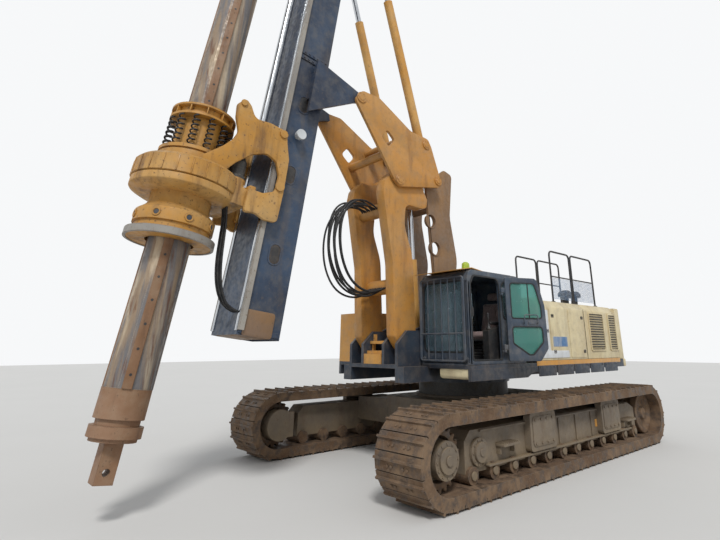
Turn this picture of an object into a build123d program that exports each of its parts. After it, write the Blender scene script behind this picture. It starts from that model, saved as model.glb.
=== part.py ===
from build123d import *
from math import atan2, ceil, cos, degrees, pi, radians, sin
import os

# Rotary drilling rig on crawler tracks. Millimetres, +Z up, front towards -Y, the cab side is +X.
# Heights are above the ground. Lengths along the machine are given from the slew axis.
SLEW_Y = 1316
PIN_GAP = 0.3
SIDE_GAP = 8

# Tracks
TRACK_X = 1950
SHOE_W = 800
WHEELBASE = 6200
TRACK_H = 1100
GROUSER_H = 30
SHOE_T = 35
CHAIN_T = 110
SHOE_COUNT = 72
SHOE_GAP = 14
GROUSER_T = 26

# Track frames and car body
FRAME_W = 360
FRAME_BOTTOM = 300
FRAME_TOP = 800
ROLLER_R = 105
ROLLER_COUNT = 12
MOTOR_R = 250
IDLER_HUB_R = 120
BEAM_W = 760
BEAM_H = 520
BEAM_Z = 680
BEAM_FRONT_Y = -860
BEAM_BACK_Y = 1430
CAR_W = 2000
CAR_L = 3100
CAR_BOTTOM = 470
CAR_TOP = 960
SLEW_RING_R = 860
SLEW_RING_H = 220

# Upper platform
DECK_TOP = 1570
DECK_T = 60
BEAM_DEPTH = 360
UPPER_HALF = 1650
UPPER_BACK = 3650
NOSE_FRONT = -2350
NOSE_HALF = 620

# Cab
CAB_X0 = 620
CAB_FRONT = -1790
CAB_BACK = -250
CAB_TOP = 3040
CAB_WALL = 50
DOOR_POST_Y = -950
DOOR_W = 800
DOOR_T = 40
DOOR_OPEN = 155
KNUCKLE_R = 24
KNUCKLE_H = 80
HINGE_PIN_R = 10

# Hood and housings
HOOD_FRONT = 60
HOOD_TOP = 2690
HOOD_FLOOR = 1600
HOOD_SPLIT = 1990
REAR_SPLIT = 3480
LOUVRES = ((2210, 620), (3110, 600))

# Front work group, rest pose: pivots as (distance from the slew axis, height)
BOOM_FOOT = (-1980, 1950)
LINK_FOOT = (-950, 2150)
ARM_RUN = -300
ARM_RISE = 2750
BOOM_TIP = (BOOM_FOOT[0] + ARM_RUN, BOOM_FOOT[1] + ARM_RISE)
LINK_TIP = (LINK_FOOT[0] + ARM_RUN, LINK_FOOT[1] + ARM_RISE)
MAST_PIVOT = (-3200, 6000)
TILT_EYE = (-1570, 5570)
LUFF_FOOT = (-1420, 1900)
LUFF_EYE = (-1560, 4480)
LUFF_X = 130
LUFF_PIN_R = 45
TILT_PIN_R = 45
EYE_HALF = 60

# Mast, drive and kelly. Heights along the mast, distances behind the kelly axis
RAKE = 7.5
KELLY_Y = -6270
MAST_FRONT = 1000
MAST_DEPTH = 640
MAST_W = 760
MAST_WALL = 12
MAST_FOOT = 2150
MAST_JOINT = 6700
MAST_HEAD = 19600
RAIL_W = 60
RAIL_H = 70
TILT_HEAD = 10900
TILT_X = 460
KELLY_R = 254
KELLY_WALL = 20
KELLY_FOOT = 1400
KELLY_TOP = 15400
SLEEVE_R = 300
STUB_W = 200
STUB_PIN_R = 40
STUB_PIN_UP = 120
DRIVE_H = 3950
GEAR_R = 700
GEAR_T = 520
CROWD_TRAVEL = 5400
CROWD_BACK = 900
CROWD_FOOT = 11300
CROWD_ROD = 62
GLAND_T = 90


def side(x):
    # Sketch plane across the machine at x: first value runs back from the slew axis, second up
    return Plane(origin=(x, SLEW_Y, 0), x_dir=(0, 1, 0), z_dir=(1, 0, 0))


def deck(z):
    # Level sketch plane at height z
    return Plane(origin=(0, SLEW_Y, z), x_dir=(1, 0, 0), z_dir=(0, 0, 1))


RAKE_SIN = sin(radians(RAKE))
RAKE_COS = cos(radians(RAKE))


def mast_side(x):
    # Sketch plane across the mast at x: first value is behind the kelly axis, second along the mast
    return Plane(origin=(x, SLEW_Y + KELLY_Y, 0), x_dir=(0, RAKE_COS, -RAKE_SIN), z_dir=(1, 0, 0))


def mast_cross(h):
    # Sketch plane square to the mast at height h: values are x and distance behind the kelly axis
    origin = (0, SLEW_Y + KELLY_Y + h * RAKE_SIN, h * RAKE_COS)
    return Plane(origin=origin, x_dir=(1, 0, 0), z_dir=(0, RAKE_SIN, RAKE_COS))


def mast_point(back, h):
    # A point of the mast as distance from the slew axis and height
    return (KELLY_Y + back * RAKE_COS + h * RAKE_SIN, h * RAKE_COS - back * RAKE_SIN)


def to_mast(y, z):
    # The other way round: a point of the machine as distance behind the kelly axis and height on the mast
    return ((y - KELLY_Y) * RAKE_COS - z * RAKE_SIN, (y - KELLY_Y) * RAKE_SIN + z * RAKE_COS)


def reach(start, end, x):
    # Sketch plane at start, facing end
    run = end[0] - start[0]
    rise = end[1] - start[1]
    return Plane(origin=(x, SLEW_Y + start[0], start[1]), x_dir=(1, 0, 0), z_dir=(0, run, rise))


def span(start, end):
    return ((end[0] - start[0]) ** 2 + (end[1] - start[1]) ** 2) ** 0.5


# Track loop: shoes with one grouser each, laid round the two wheels
tip_r = TRACK_H / 2
plate_r = tip_r - GROUSER_H
link_r = plate_r - SHOE_T
inner_r = link_r - CHAIN_T
axle_z = TRACK_H / 2
loop_length = 2 * WHEELBASE + 2 * pi * link_r
pitch = loop_length / SHOE_COUNT


def loop_point(s, r):
    # Point at distance s along the chain and r out from the wheel centres' line
    s = s % loop_length
    if s < WHEELBASE:
        return (-WHEELBASE / 2 + s, axle_z - r)
    s -= WHEELBASE
    if s < pi * link_r:
        turn = s / link_r - pi / 2
        return (WHEELBASE / 2 + r * cos(turn), axle_z + r * sin(turn))
    s -= pi * link_r
    if s < WHEELBASE:
        return (WHEELBASE / 2 - s, axle_z + r)
    turn = (s - WHEELBASE) / link_r + pi / 2
    return (-WHEELBASE / 2 + r * cos(turn), axle_z + r * sin(turn))


shoe_profile = (
    (SHOE_GAP / 2, link_r),
    (SHOE_GAP / 2, plate_r),
    (pitch * 0.3, plate_r),
    (pitch * 0.3 + 4, tip_r),
    (pitch * 0.3 + GROUSER_T, tip_r),
    (pitch * 0.3 + GROUSER_T + 4, plate_r),
    (pitch - SHOE_GAP / 2, plate_r),
    (pitch - SHOE_GAP / 2, link_r),
)
shoe_points = []
for shoe in range(SHOE_COUNT):
    for along, out in shoe_profile:
        shoe_points.append(loop_point(shoe * pitch + along, out))

with BuildPart() as track_left:
    with BuildSketch(side(TRACK_X - SHOE_W / 2)):
        Polygon(*shoe_points, align=None)
        with Locations((0, axle_z)):
            SlotCenterToCenter(WHEELBASE, 2 * inner_r, mode=Mode.SUBTRACT)
    extrude(amount=SHOE_W)

with BuildPart() as track_right:
    mirror(track_left.part, about=Plane.YZ)

# Track frame: a long box between the runs, with the cross beam ends showing through it
frame_x = TRACK_X - FRAME_W / 2
frame_front = -WHEELBASE / 2 + inner_r + 120
frame_back = WHEELBASE / 2 - inner_r - 60
with BuildPart() as frame_left:
    with BuildSketch(side(frame_x)):
        with BuildLine():
            Polyline(
                (frame_front, FRAME_BOTTOM),
                (frame_back, FRAME_BOTTOM),
                (frame_back, FRAME_TOP - 110),
                (frame_back - 260, FRAME_TOP),
                (frame_front + 120, FRAME_TOP),
                (frame_front, FRAME_TOP - 120),
                close=True,
            )
        make_face()
    extrude(amount=FRAME_W)
    for beam_y in (BEAM_FRONT_Y, BEAM_BACK_Y):
        with BuildSketch(side(frame_x + FRAME_W)):
            with Locations((beam_y, BEAM_Z - 30)):
                RectangleRounded(BEAM_W - 40, BEAM_H, 60)
        extrude(amount=110)
    for wheel_y, frame_end, hub_r in (
        (-WHEELBASE / 2, frame_front, MOTOR_R),
        (WHEELBASE / 2, frame_back, IDLER_HUB_R),
    ):
        with BuildSketch(side(TRACK_X - 60)):
            with Locations(((wheel_y + frame_end) / 2, axle_z)):
                Rectangle(abs(wheel_y - frame_end) + 40, 300)
            with Locations((wheel_y, axle_z)):
                Circle(hub_r + 60)
                Circle(hub_r, mode=Mode.SUBTRACT)
        extrude(amount=120)

with BuildPart() as frame_right:
    mirror(frame_left.part, about=Plane.YZ)

# Sprockets at the front, idlers at the back, one of each on both sides
with BuildPart() as sprockets:
    for x in (-TRACK_X, TRACK_X):
        with BuildSketch(side(x - 200)):
            with Locations((-WHEELBASE / 2, axle_z)):
                Circle(inner_r)
        extrude(amount=120)
        with BuildSketch(side(x + 80)):
            with Locations((-WHEELBASE / 2, axle_z)):
                Circle(inner_r)
        extrude(amount=120)
with BuildPart() as idlers:
    for x in (-TRACK_X, TRACK_X):
        for shift in (-200, 80):
            with BuildSketch(side(x + shift)):
                with Locations((WHEELBASE / 2, axle_z)):
                    Circle(inner_r)
            extrude(amount=120)
        with BuildSketch(side(x - 80)):
            with Locations((WHEELBASE / 2, axle_z)):
                Circle(IDLER_HUB_R)
        extrude(amount=160)

with BuildPart() as bottom_rollers:
    roller_z = axle_z - inner_r + ROLLER_R
    roller_pitch = (WHEELBASE - 2 * inner_r) / ROLLER_COUNT
    for x in (-TRACK_X, TRACK_X):
        for index in range(ROLLER_COUNT):
            with BuildSketch(side(x - 230)):
                roller_y = -WHEELBASE / 2 + inner_r + (index + 0.5) * roller_pitch
                with Locations((roller_y, roller_z)):
                    Circle(ROLLER_R)
            extrude(amount=460)
    for x in (-TRACK_X, TRACK_X):
        with BuildSketch(side(x - FRAME_W / 2)):
            with Locations(((frame_front + frame_back) / 2, FRAME_BOTTOM + 100)):
                Rectangle(frame_back - frame_front, 200)
        extrude(amount=FRAME_W, mode=Mode.SUBTRACT)

# Travel motor drums with their round covers, outside and inside the sprocket
with BuildPart() as travel_motors:
    for sign in (-1, 1):
        with BuildSketch(side(sign * TRACK_X - 80)):
            with Locations((-WHEELBASE / 2, axle_z)):
                Circle(MOTOR_R)
        extrude(amount=160)
        start = TRACK_X + 200 if sign > 0 else -TRACK_X - 330
        with BuildSketch(side(start)):
            with Locations((-WHEELBASE / 2, axle_z)):
                Circle(215)
        extrude(amount=130)
        start = TRACK_X - 420 if sign > 0 else -TRACK_X + 200
        with BuildSketch(side(start)):
            with Locations((-WHEELBASE / 2, axle_z)):
                Circle(250)
            with Locations((-WHEELBASE / 2 + 130, axle_z)):
                Rectangle(260, 400)
        extrude(amount=220)

# Car body with two cross beams
with BuildPart() as car_body:
    with BuildSketch(deck(CAR_BOTTOM)):
        with Locations((0, (BEAM_FRONT_Y + BEAM_BACK_Y) / 2)):
            RectangleRounded(CAR_W, CAR_L, 300)
    extrude(amount=CAR_TOP - CAR_BOTTOM)
    for beam_y in (BEAM_FRONT_Y, BEAM_BACK_Y):
        with BuildSketch(side(-frame_x)):
            with Locations((beam_y, BEAM_Z)):
                Rectangle(BEAM_W - 120, BEAM_H - 100)
        extrude(amount=2 * frame_x)
    with BuildSketch(deck(CAR_TOP)):
        Circle(SLEW_RING_R + 60)
    extrude(amount=40)

with BuildPart() as slew_ring:
    with BuildSketch(deck(CAR_TOP + 40)):
        Circle(SLEW_RING_R)
        Circle(SLEW_RING_R - 160, mode=Mode.SUBTRACT)
    extrude(amount=SLEW_RING_H)

# Platform: deck plate with the two long beams that carry the boom
platform_bottom = CAR_TOP + 40 + SLEW_RING_H + PIN_GAP
foot_plates = (-610, -290, 240, 560)
with BuildPart() as platform:
    with BuildSketch(deck(platform_bottom)):
        Circle(SLEW_RING_R + 40)
    extrude(amount=DECK_TOP - DECK_T - platform_bottom)
    with BuildSketch(deck(DECK_TOP - DECK_T)):
        with Locations((0, (CAB_FRONT + UPPER_BACK) / 2)):
            Rectangle(2 * UPPER_HALF, UPPER_BACK - CAB_FRONT)
        with Locations((0, (NOSE_FRONT + CAB_FRONT) / 2)):
            Rectangle(2 * NOSE_HALF, CAB_FRONT - NOSE_FRONT)
    extrude(amount=DECK_T)
    for x in (-760, 560):
        with BuildSketch(side(x)):
            with Locations(((NOSE_FRONT + UPPER_BACK) / 2, DECK_TOP - DECK_T / 2 - BEAM_DEPTH / 2 + 60)):
                Rectangle(UPPER_BACK - NOSE_FRONT, BEAM_DEPTH - 120)
        extrude(amount=200)
    for x in foot_plates:
        with BuildSketch(side(x)):
            with BuildLine():
                Polyline(
                    (NOSE_FRONT, DECK_TOP - DECK_T / 2),
                    (-500, DECK_TOP - DECK_T / 2),
                    (-640, LINK_FOOT[1] - 60),
                    (-760, LINK_FOOT[1] + 140),
                    (-1100, LINK_FOOT[1] + 160),
                    (-1700, BOOM_FOOT[1] + 150),
                    (-2120, BOOM_FOOT[1] + 150),
                    (NOSE_FRONT, BOOM_FOOT[1] - 60),
                    close=True,
                )
            make_face()
        extrude(amount=60)
    for foot, r in ((BOOM_FOOT, 60), (LINK_FOOT, 50)):
        for x in (-590, 270):
            with BuildSketch(side(x)):
                with Locations(foot):
                    Circle(r)
            extrude(amount=320)
    with BuildSketch(side(-260)):
        with Locations(LUFF_FOOT):
            Circle(LUFF_PIN_R)
    extrude(amount=520)

with BuildPart() as steps:
    for index in range(3):
        with BuildSketch(deck(DECK_TOP + index * 160)):
            with Locations((0, NOSE_FRONT + 120 + index * 60)):
                Rectangle(440, 240 - index * 20)
        extrude(amount=50 if index else 160)
        with BuildSketch(deck(DECK_TOP + index * 160 + 50)):
            with Locations((-200, NOSE_FRONT + 180 + index * 30), (200, NOSE_FRONT + 180 + index * 30)):
                Rectangle(30, 60)
        extrude(amount=110)

with BuildPart() as sills:
    for x in (-UPPER_HALF, UPPER_HALF - 60):
        with BuildSketch(side(x)):
            with BuildLine():
                Polyline(
                    (CAB_FRONT, DECK_TOP - DECK_T),
                    (CAB_FRONT, DECK_TOP - 230),
                    (CAB_BACK, DECK_TOP - 230),
                    (CAB_BACK + 200, DECK_TOP - 150),
                    (UPPER_BACK, DECK_TOP - 150),
                    (UPPER_BACK, DECK_TOP - DECK_T),
                    close=True,
                )
            make_face()
        extrude(amount=60)

# Door hinge line and the plane that the open door lies in
door_turn = radians(DOOR_OPEN - 90)
hinge_at = (UPPER_HALF + DOOR_T + 15, SLEW_Y + DOOR_POST_Y + 10)
door_out = (-cos(radians(180 - DOOR_OPEN)), sin(radians(180 - DOOR_OPEN)), 0)
door_plane = Plane(
    origin=(*hinge_at, 0),
    x_dir=(cos(door_turn), sin(door_turn), 0),
    z_dir=(-door_out[0], -door_out[1], 0),
)
door_low = DECK_TOP + 40
door_high = CAB_TOP - 70
hinge_heights = (door_low + 180, door_high - 260)

# Cab: hollow, with the door and window openings cut
cab_w = UPPER_HALF - CAB_X0
cab_mid_x = CAB_X0 + cab_w / 2
cab_profile = (
    (CAB_FRONT, DECK_TOP),
    (CAB_BACK, DECK_TOP),
    (CAB_BACK, CAB_TOP),
    (CAB_FRONT + 60, CAB_TOP),
    (CAB_FRONT, CAB_TOP - 120),
)
with BuildPart() as cab_shell:
    with BuildSketch(side(CAB_X0)):
        Polygon(*cab_profile, align=None)
    extrude(amount=cab_w)
    with BuildSketch(side(CAB_X0 + CAB_WALL)):
        Polygon(
            (CAB_FRONT + CAB_WALL, DECK_TOP + CAB_WALL),
            (CAB_BACK - CAB_WALL, DECK_TOP + CAB_WALL),
            (CAB_BACK - CAB_WALL, CAB_TOP - CAB_WALL),
            (CAB_FRONT + 60 + CAB_WALL, CAB_TOP - CAB_WALL),
            (CAB_FRONT + CAB_WALL, CAB_TOP - 120 - CAB_WALL),
            align=None,
        )
    extrude(amount=cab_w - 2 * CAB_WALL, mode=Mode.SUBTRACT)
    # Windscreen opening
    with BuildSketch(Plane(origin=(cab_mid_x, SLEW_Y + CAB_FRONT - 10, 0), x_dir=(1, 0, 0), z_dir=(0, -1, 0))):
        with Locations((0, DECK_TOP + 760)):
            Rectangle(cab_w - 120, 1180)
    extrude(amount=-CAB_WALL - 20, mode=Mode.SUBTRACT)
    # Door opening on the left, windows on both sides
    with BuildSketch(side(UPPER_HALF - CAB_WALL - 10)):
        with Locations(((CAB_FRONT + 70 + DOOR_POST_Y) / 2, (DECK_TOP + 60 + CAB_TOP - 90) / 2)):
            Rectangle(DOOR_POST_Y - CAB_FRONT - 70, CAB_TOP - 90 - DECK_TOP - 60)
        with Locations(((DOOR_POST_Y + 60 + CAB_BACK - 70) / 2, DECK_TOP + 1010)):
            Rectangle(CAB_BACK - 130 - DOOR_POST_Y, 620)
    extrude(amount=CAB_WALL + 20, mode=Mode.SUBTRACT)
    with BuildSketch(side(CAB_X0 - 10)):
        with Locations(((CAB_FRONT + CAB_BACK) / 2, DECK_TOP + 960)):
            Rectangle(1280, 720)
    extrude(amount=CAB_WALL + 20, mode=Mode.SUBTRACT)

    for z in hinge_heights:
        with BuildSketch(Plane.XY.offset(z - PIN_GAP - 40)):
            with Locations(hinge_at):
                Circle(KNUCKLE_R)
            with Locations(((UPPER_HALF + hinge_at[0]) / 2, hinge_at[1])):
                Rectangle(hinge_at[0] - UPPER_HALF, 30)
        extrude(amount=40)
        with BuildSketch(Plane.XY.offset(z - PIN_GAP)):
            with Locations(hinge_at):
                Circle(HINGE_PIN_R)
        extrude(amount=KNUCKLE_H + 10)

with BuildPart() as cab_windows:
    with BuildSketch(Plane(origin=(cab_mid_x, SLEW_Y + CAB_FRONT + 20, 0), x_dir=(1, 0, 0), z_dir=(0, -1, 0))):
        with Locations((0, DECK_TOP + 760)):
            Rectangle(cab_w - 120, 1180)
    extrude(amount=-8)
    with BuildSketch(side(UPPER_HALF - 30)):
        with Locations(((DOOR_POST_Y + 60 + CAB_BACK - 70) / 2, DECK_TOP + 1010)):
            Rectangle(CAB_BACK - 130 - DOOR_POST_Y, 620)
    extrude(amount=8)
    with BuildSketch(side(CAB_X0 + 20)):
        with Locations(((CAB_FRONT + CAB_BACK) / 2, DECK_TOP + 960)):
            Rectangle(1280, 720)
    extrude(amount=8)

# Bar guard in front of the windscreen
with BuildPart() as cab_guard:
    for bar in range(7):
        x = CAB_X0 + 45 + bar * (cab_w - 90) / 6
        with BuildSketch(deck(DECK_TOP + 60)):
            with Locations((x, CAB_FRONT - 60)):
                Rectangle(22, 22)
        extrude(amount=1290)
    for z in (DECK_TOP + 60, DECK_TOP + 420, CAB_TOP - 142):
        with BuildSketch(side(CAB_X0 + 34)):
            with Locations((CAB_FRONT - 60, z + 16)):
                Rectangle(36, 32)
        extrude(amount=cab_w - 68)
    for z in (DECK_TOP + 76, CAB_TOP - 126):
        for x in (CAB_X0 + 45, UPPER_HALF - 75):
            with BuildSketch(side(x)):
                with Locations((CAB_FRONT - 24, z - 10)):
                    Rectangle(48, 24)
            extrude(amount=30)

with BuildPart() as cab_door:
    with BuildSketch(door_plane.offset(SIDE_GAP)):
        Polygon(
            (40, door_low),
            (DOOR_W - 120, door_low),
            (DOOR_W, door_low + 160),
            (DOOR_W, door_high - 420),
            (DOOR_W - 60, door_high),
            (40, door_high),
            align=None,
        )
    extrude(amount=DOOR_T)
    for z in hinge_heights:
        with BuildSketch(Plane(origin=(*hinge_at, z), x_dir=door_plane.x_dir, z_dir=(0, 0, 1))):
            Circle(KNUCKLE_R)
            with Locations((35, -KNUCKLE_R / 2 - 6)):
                Rectangle(70, KNUCKLE_R + 12)
            Circle(HINGE_PIN_R + PIN_GAP, mode=Mode.SUBTRACT)
        extrude(amount=KNUCKLE_H)
    with BuildSketch(door_plane):
        with Locations((DOOR_W / 2, door_high - 370)):
            Rectangle(DOOR_W - 160, 560)
        with Locations((DOOR_W / 2, door_low + 330)):
            Rectangle(DOOR_W - 260, 420)
    extrude(amount=DOOR_T + 2 * SIDE_GAP, mode=Mode.SUBTRACT)

with BuildPart() as door_glass:
    with BuildSketch(door_plane.offset(SIDE_GAP + 16)):
        with Locations((DOOR_W / 2, door_high - 370)):
            Rectangle(DOOR_W - 160, 560)
        with Locations((DOOR_W / 2, door_low + 330)):
            Rectangle(DOOR_W - 260, 420)
    extrude(amount=8)

with BuildPart() as beacon:
    with BuildSketch(deck(CAB_TOP)):
        with Locations((UPPER_HALF - 180, CAB_FRONT + 200)):
            Circle(75)
    extrude(amount=150, taper=6)

with BuildPart() as seat:
    with BuildSketch(deck(DECK_TOP + CAB_WALL)):
        with Locations((cab_mid_x, -780)):
            Rectangle(340, 340)
    extrude(amount=330)
    with BuildSketch(deck(DECK_TOP + CAB_WALL + 330)):
        with Locations((cab_mid_x, -800)):
            RectangleRounded(500, 500, 60)
    extrude(amount=130)
    with BuildSketch(side(cab_mid_x - 230)):
        Polygon((-620, 2050), (-500, 2050), (-400, 2720), (-520, 2720), align=None)
    extrude(amount=460)

with BuildPart() as console:
    for x in (cab_mid_x - 400, cab_mid_x + 280):
        with BuildSketch(side(x)):
            Polygon((-1150, 1620), (-700, 1620), (-700, 2180), (-1150, 2100), align=None)
        extrude(amount=120)

# Engine housing behind the cab and across the back
with BuildPart() as left_hood:
    with BuildSketch(deck(HOOD_FLOOR)):
        with Locations(((600 + UPPER_HALF) / 2, (HOOD_FRONT + HOOD_SPLIT) / 2)):
            Rectangle(UPPER_HALF - 600, HOOD_SPLIT - HOOD_FRONT)
    extrude(amount=HOOD_TOP - HOOD_FLOOR)
    with BuildSketch(deck(DECK_TOP)):
        with Locations(((600 + UPPER_HALF) / 2, (HOOD_FRONT + HOOD_SPLIT) / 2)):
            Rectangle(UPPER_HALF - 660, 1930 - HOOD_FRONT)
    extrude(amount=HOOD_FLOOR - DECK_TOP)

with BuildPart() as rear_housing:
    with BuildSketch(deck(DECK_TOP)):
        with Locations((0, (HOOD_SPLIT + REAR_SPLIT) / 2)):
            Rectangle(2 * UPPER_HALF, REAR_SPLIT - HOOD_SPLIT)
    extrude(amount=HOOD_TOP - DECK_TOP)
    with BuildSketch(side(-UPPER_HALF + 40)):
        with Locations(((HOOD_SPLIT + REAR_SPLIT) / 2, (DECK_TOP + HOOD_TOP - 40) / 2)):
            Rectangle(REAR_SPLIT - HOOD_SPLIT - 100, HOOD_TOP - 40 - DECK_TOP)
    extrude(amount=2 * UPPER_HALF - 80, mode=Mode.SUBTRACT)
    for louvre in range(14):
        with BuildSketch(side(UPPER_HALF - 60)):
            for y, length in LOUVRES:
                with Locations((y, 1830 + louvre * 48)):
                    Rectangle(length, 22)
        extrude(amount=80, mode=Mode.SUBTRACT)

with BuildPart() as engine_block:
    with BuildSketch(deck(DECK_TOP)):
        with Locations((0, 2580)):
            Rectangle(1900, 900)
    extrude(amount=900)

with BuildPart() as counterweight:
    with BuildSketch(deck(DECK_TOP - 150)):
        with BuildLine():
            Polyline(
                (-UPPER_HALF, REAR_SPLIT),
                (UPPER_HALF, REAR_SPLIT),
                (UPPER_HALF, REAR_SPLIT + 140),
                (UPPER_HALF - 260, REAR_SPLIT + 370),
                (-UPPER_HALF + 260, REAR_SPLIT + 370),
                (-UPPER_HALF, REAR_SPLIT + 140),
                close=True,
            )
        make_face()
    extrude(amount=HOOD_TOP - 20 - DECK_TOP + 150)
    with BuildSketch(deck(DECK_TOP - 160)):
        with Locations((0, (CAB_FRONT + UPPER_BACK) / 2)):
            Rectangle(2 * UPPER_HALF, UPPER_BACK - CAB_FRONT)
    extrude(amount=160, mode=Mode.SUBTRACT)

with BuildPart() as right_housing:
    with BuildSketch(deck(DECK_TOP)):
        with Locations((-(UPPER_HALF + 850) / 2, (CAB_FRONT + 1985) / 2)):
            Rectangle(UPPER_HALF - 850, 1985 - CAB_FRONT)
    extrude(amount=900)

with BuildPart() as railings:
    for x in (700, 1500):
        for y in (1100, 1900, 2900):
            with BuildSketch(deck(HOOD_TOP)):
                with Locations((x, y)):
                    Circle(22)
            extrude(amount=1040)
        for z in (HOOD_TOP + 540, HOOD_TOP + 1040):
            with BuildSketch(Plane(origin=(x, SLEW_Y + 1100, z), x_dir=(1, 0, 0), z_dir=(0, 1, 0))):
                Circle(22)
            extrude(amount=1800)

with BuildPart() as air_caps:
    for y in (2250, 2650):
        with BuildSketch(deck(HOOD_TOP)):
            with Locations((1150, y)):
                Circle(70)
        extrude(amount=220)
        with BuildSketch(deck(HOOD_TOP + 220)):
            with Locations((1150, y)):
                Circle(150)
        extrude(amount=110, taper=20)

# Main winch in the bay behind the boom
WINCH_AT = (1400, 2400)
with BuildPart() as winch_frame:
    for x in (-500, 440):
        with BuildSketch(side(x)):
            Polygon((950, DECK_TOP), (1850, DECK_TOP), (1750, 2750), (1050, 2750), align=None)
        extrude(amount=60)
    with BuildSketch(side(-440)):
        with Locations(WINCH_AT):
            Circle(60)
    extrude(amount=880)

with BuildPart() as winch_drum:
    with BuildSketch(side(-420)):
        with Locations(WINCH_AT):
            Circle(400)
    extrude(amount=40)
    with BuildSketch(side(-380)):
        with Locations(WINCH_AT):
            Circle(280)
    extrude(amount=760)
    with BuildSketch(side(380)):
        with Locations(WINCH_AT):
            Circle(400)
    extrude(amount=40)
    with BuildSketch(side(-420)):
        with Locations(WINCH_AT):
            Circle(60 + PIN_GAP)
    extrude(amount=840, mode=Mode.SUBTRACT)

# Boom: two box legs joined by cross members
leg_x0 = 320
leg_w = 210
tri_x0 = leg_x0 + leg_w + 20
tri_t = 60
with BuildPart() as boom:
    for x in (-leg_x0 - leg_w, leg_x0):
        with BuildSketch(side(x)):
            with BuildLine():
                foot_front = Polyline(
                    (BOOM_FOOT[0] - 150, BOOM_FOOT[1]),
                    (BOOM_FOOT[0] - 420, BOOM_FOOT[1] + 1500),
                    (BOOM_TIP[0] - 230, BOOM_TIP[1] - 250),
                    (BOOM_TIP[0] - 130, BOOM_TIP[1] + 100),
                    (BOOM_TIP[0] + 100, BOOM_TIP[1] + 130),
                    (LUFF_EYE[0] - 40, LUFF_EYE[1] + 110),
                    (LUFF_EYE[0] + 110, LUFF_EYE[1]),
                    (LUFF_EYE[0] - 20, LUFF_EYE[1] - 110),
                    (BOOM_TIP[0] + 330, BOOM_TIP[1] - 600),
                    (BOOM_FOOT[0] + 150, BOOM_FOOT[1]),
                )
                ThreePointArc(
                    (BOOM_FOOT[0] + 150, BOOM_FOOT[1]),
                    (BOOM_FOOT[0], BOOM_FOOT[1] - 150),
                    (BOOM_FOOT[0] - 150, BOOM_FOOT[1]),
                )
            make_face()
        extrude(amount=leg_w)
    for cross in ((BOOM_FOOT[0] - 130, BOOM_FOOT[1] + 900), (BOOM_TIP[0] - 50, BOOM_TIP[1] - 500)):
        with BuildSketch(side(-leg_x0)):
            with Locations(cross):
                Circle(130)
        extrude(amount=2 * leg_x0)
    with BuildSketch(side(-NOSE_HALF)):
        with Locations(BOOM_FOOT):
            Circle(60 + PIN_GAP)
    extrude(amount=2 * NOSE_HALF, mode=Mode.SUBTRACT)
    with BuildSketch(side(-tri_x0 - tri_t)):
        with Locations(BOOM_TIP):
            Circle(50)
    extrude(amount=2 * (tri_x0 + tri_t))
    for x in (-LUFF_X, LUFF_X):
        for shift in (-EYE_HALF - SIDE_GAP - 40, EYE_HALF + SIDE_GAP):
            with BuildSketch(side(x + shift)):
                with Locations((BOOM_TIP[0] - 50, BOOM_TIP[1] - 500)):
                    Circle(110)
                with Locations(LUFF_EYE):
                    Circle(90)
                make_hull()
            extrude(amount=40)

# Rear link: a wide plate on each side with two lightening holes, joined by a cross tube
link_x0 = 360
with BuildPart() as rear_link:
    for x in (-link_x0 - 60, link_x0):
        with BuildSketch(side(x)):
            with BuildLine():
                Polyline(
                    (LINK_FOOT[0] - 110, LINK_FOOT[1]),
                    (LINK_FOOT[0] - 250, LINK_FOOT[1] + 800),
                    (LINK_TIP[0] - 160, LINK_TIP[1] - 60),
                    (LINK_TIP[0] - 60, LINK_TIP[1] + 110),
                    (LINK_TIP[0] + 90, LINK_TIP[1] + 110),
                    (LINK_TIP[0] + 560, LINK_TIP[1] - 160),
                    (LINK_FOOT[0] + 330, LINK_FOOT[1] + 1000),
                    (LINK_FOOT[0] + 110, LINK_FOOT[1]),
                )
                ThreePointArc(
                    (LINK_FOOT[0] + 110, LINK_FOOT[1]),
                    (LINK_FOOT[0], LINK_FOOT[1] - 110),
                    (LINK_FOOT[0] - 110, LINK_FOOT[1]),
                )
            make_face()
            for hole in ((LINK_TIP[0] - 30, LINK_TIP[1] - 760), (LINK_TIP[0] + 80, LINK_TIP[1] - 1280)):
                with Locations(hole):
                    Circle(125, mode=Mode.SUBTRACT)
        extrude(amount=60)
    with BuildSketch(side(-link_x0)):
        with Locations((LINK_TIP[0] + 220, LINK_TIP[1] - 420)):
            Circle(90)
    extrude(amount=2 * link_x0)
    for pin, r in ((LINK_FOOT, 50), (LINK_TIP, 50)):
        with BuildSketch(side(-link_x0 - 100)):
            with Locations(pin):
                Circle(r + PIN_GAP)
        extrude(amount=2 * link_x0 + 200, mode=Mode.SUBTRACT)


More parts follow.
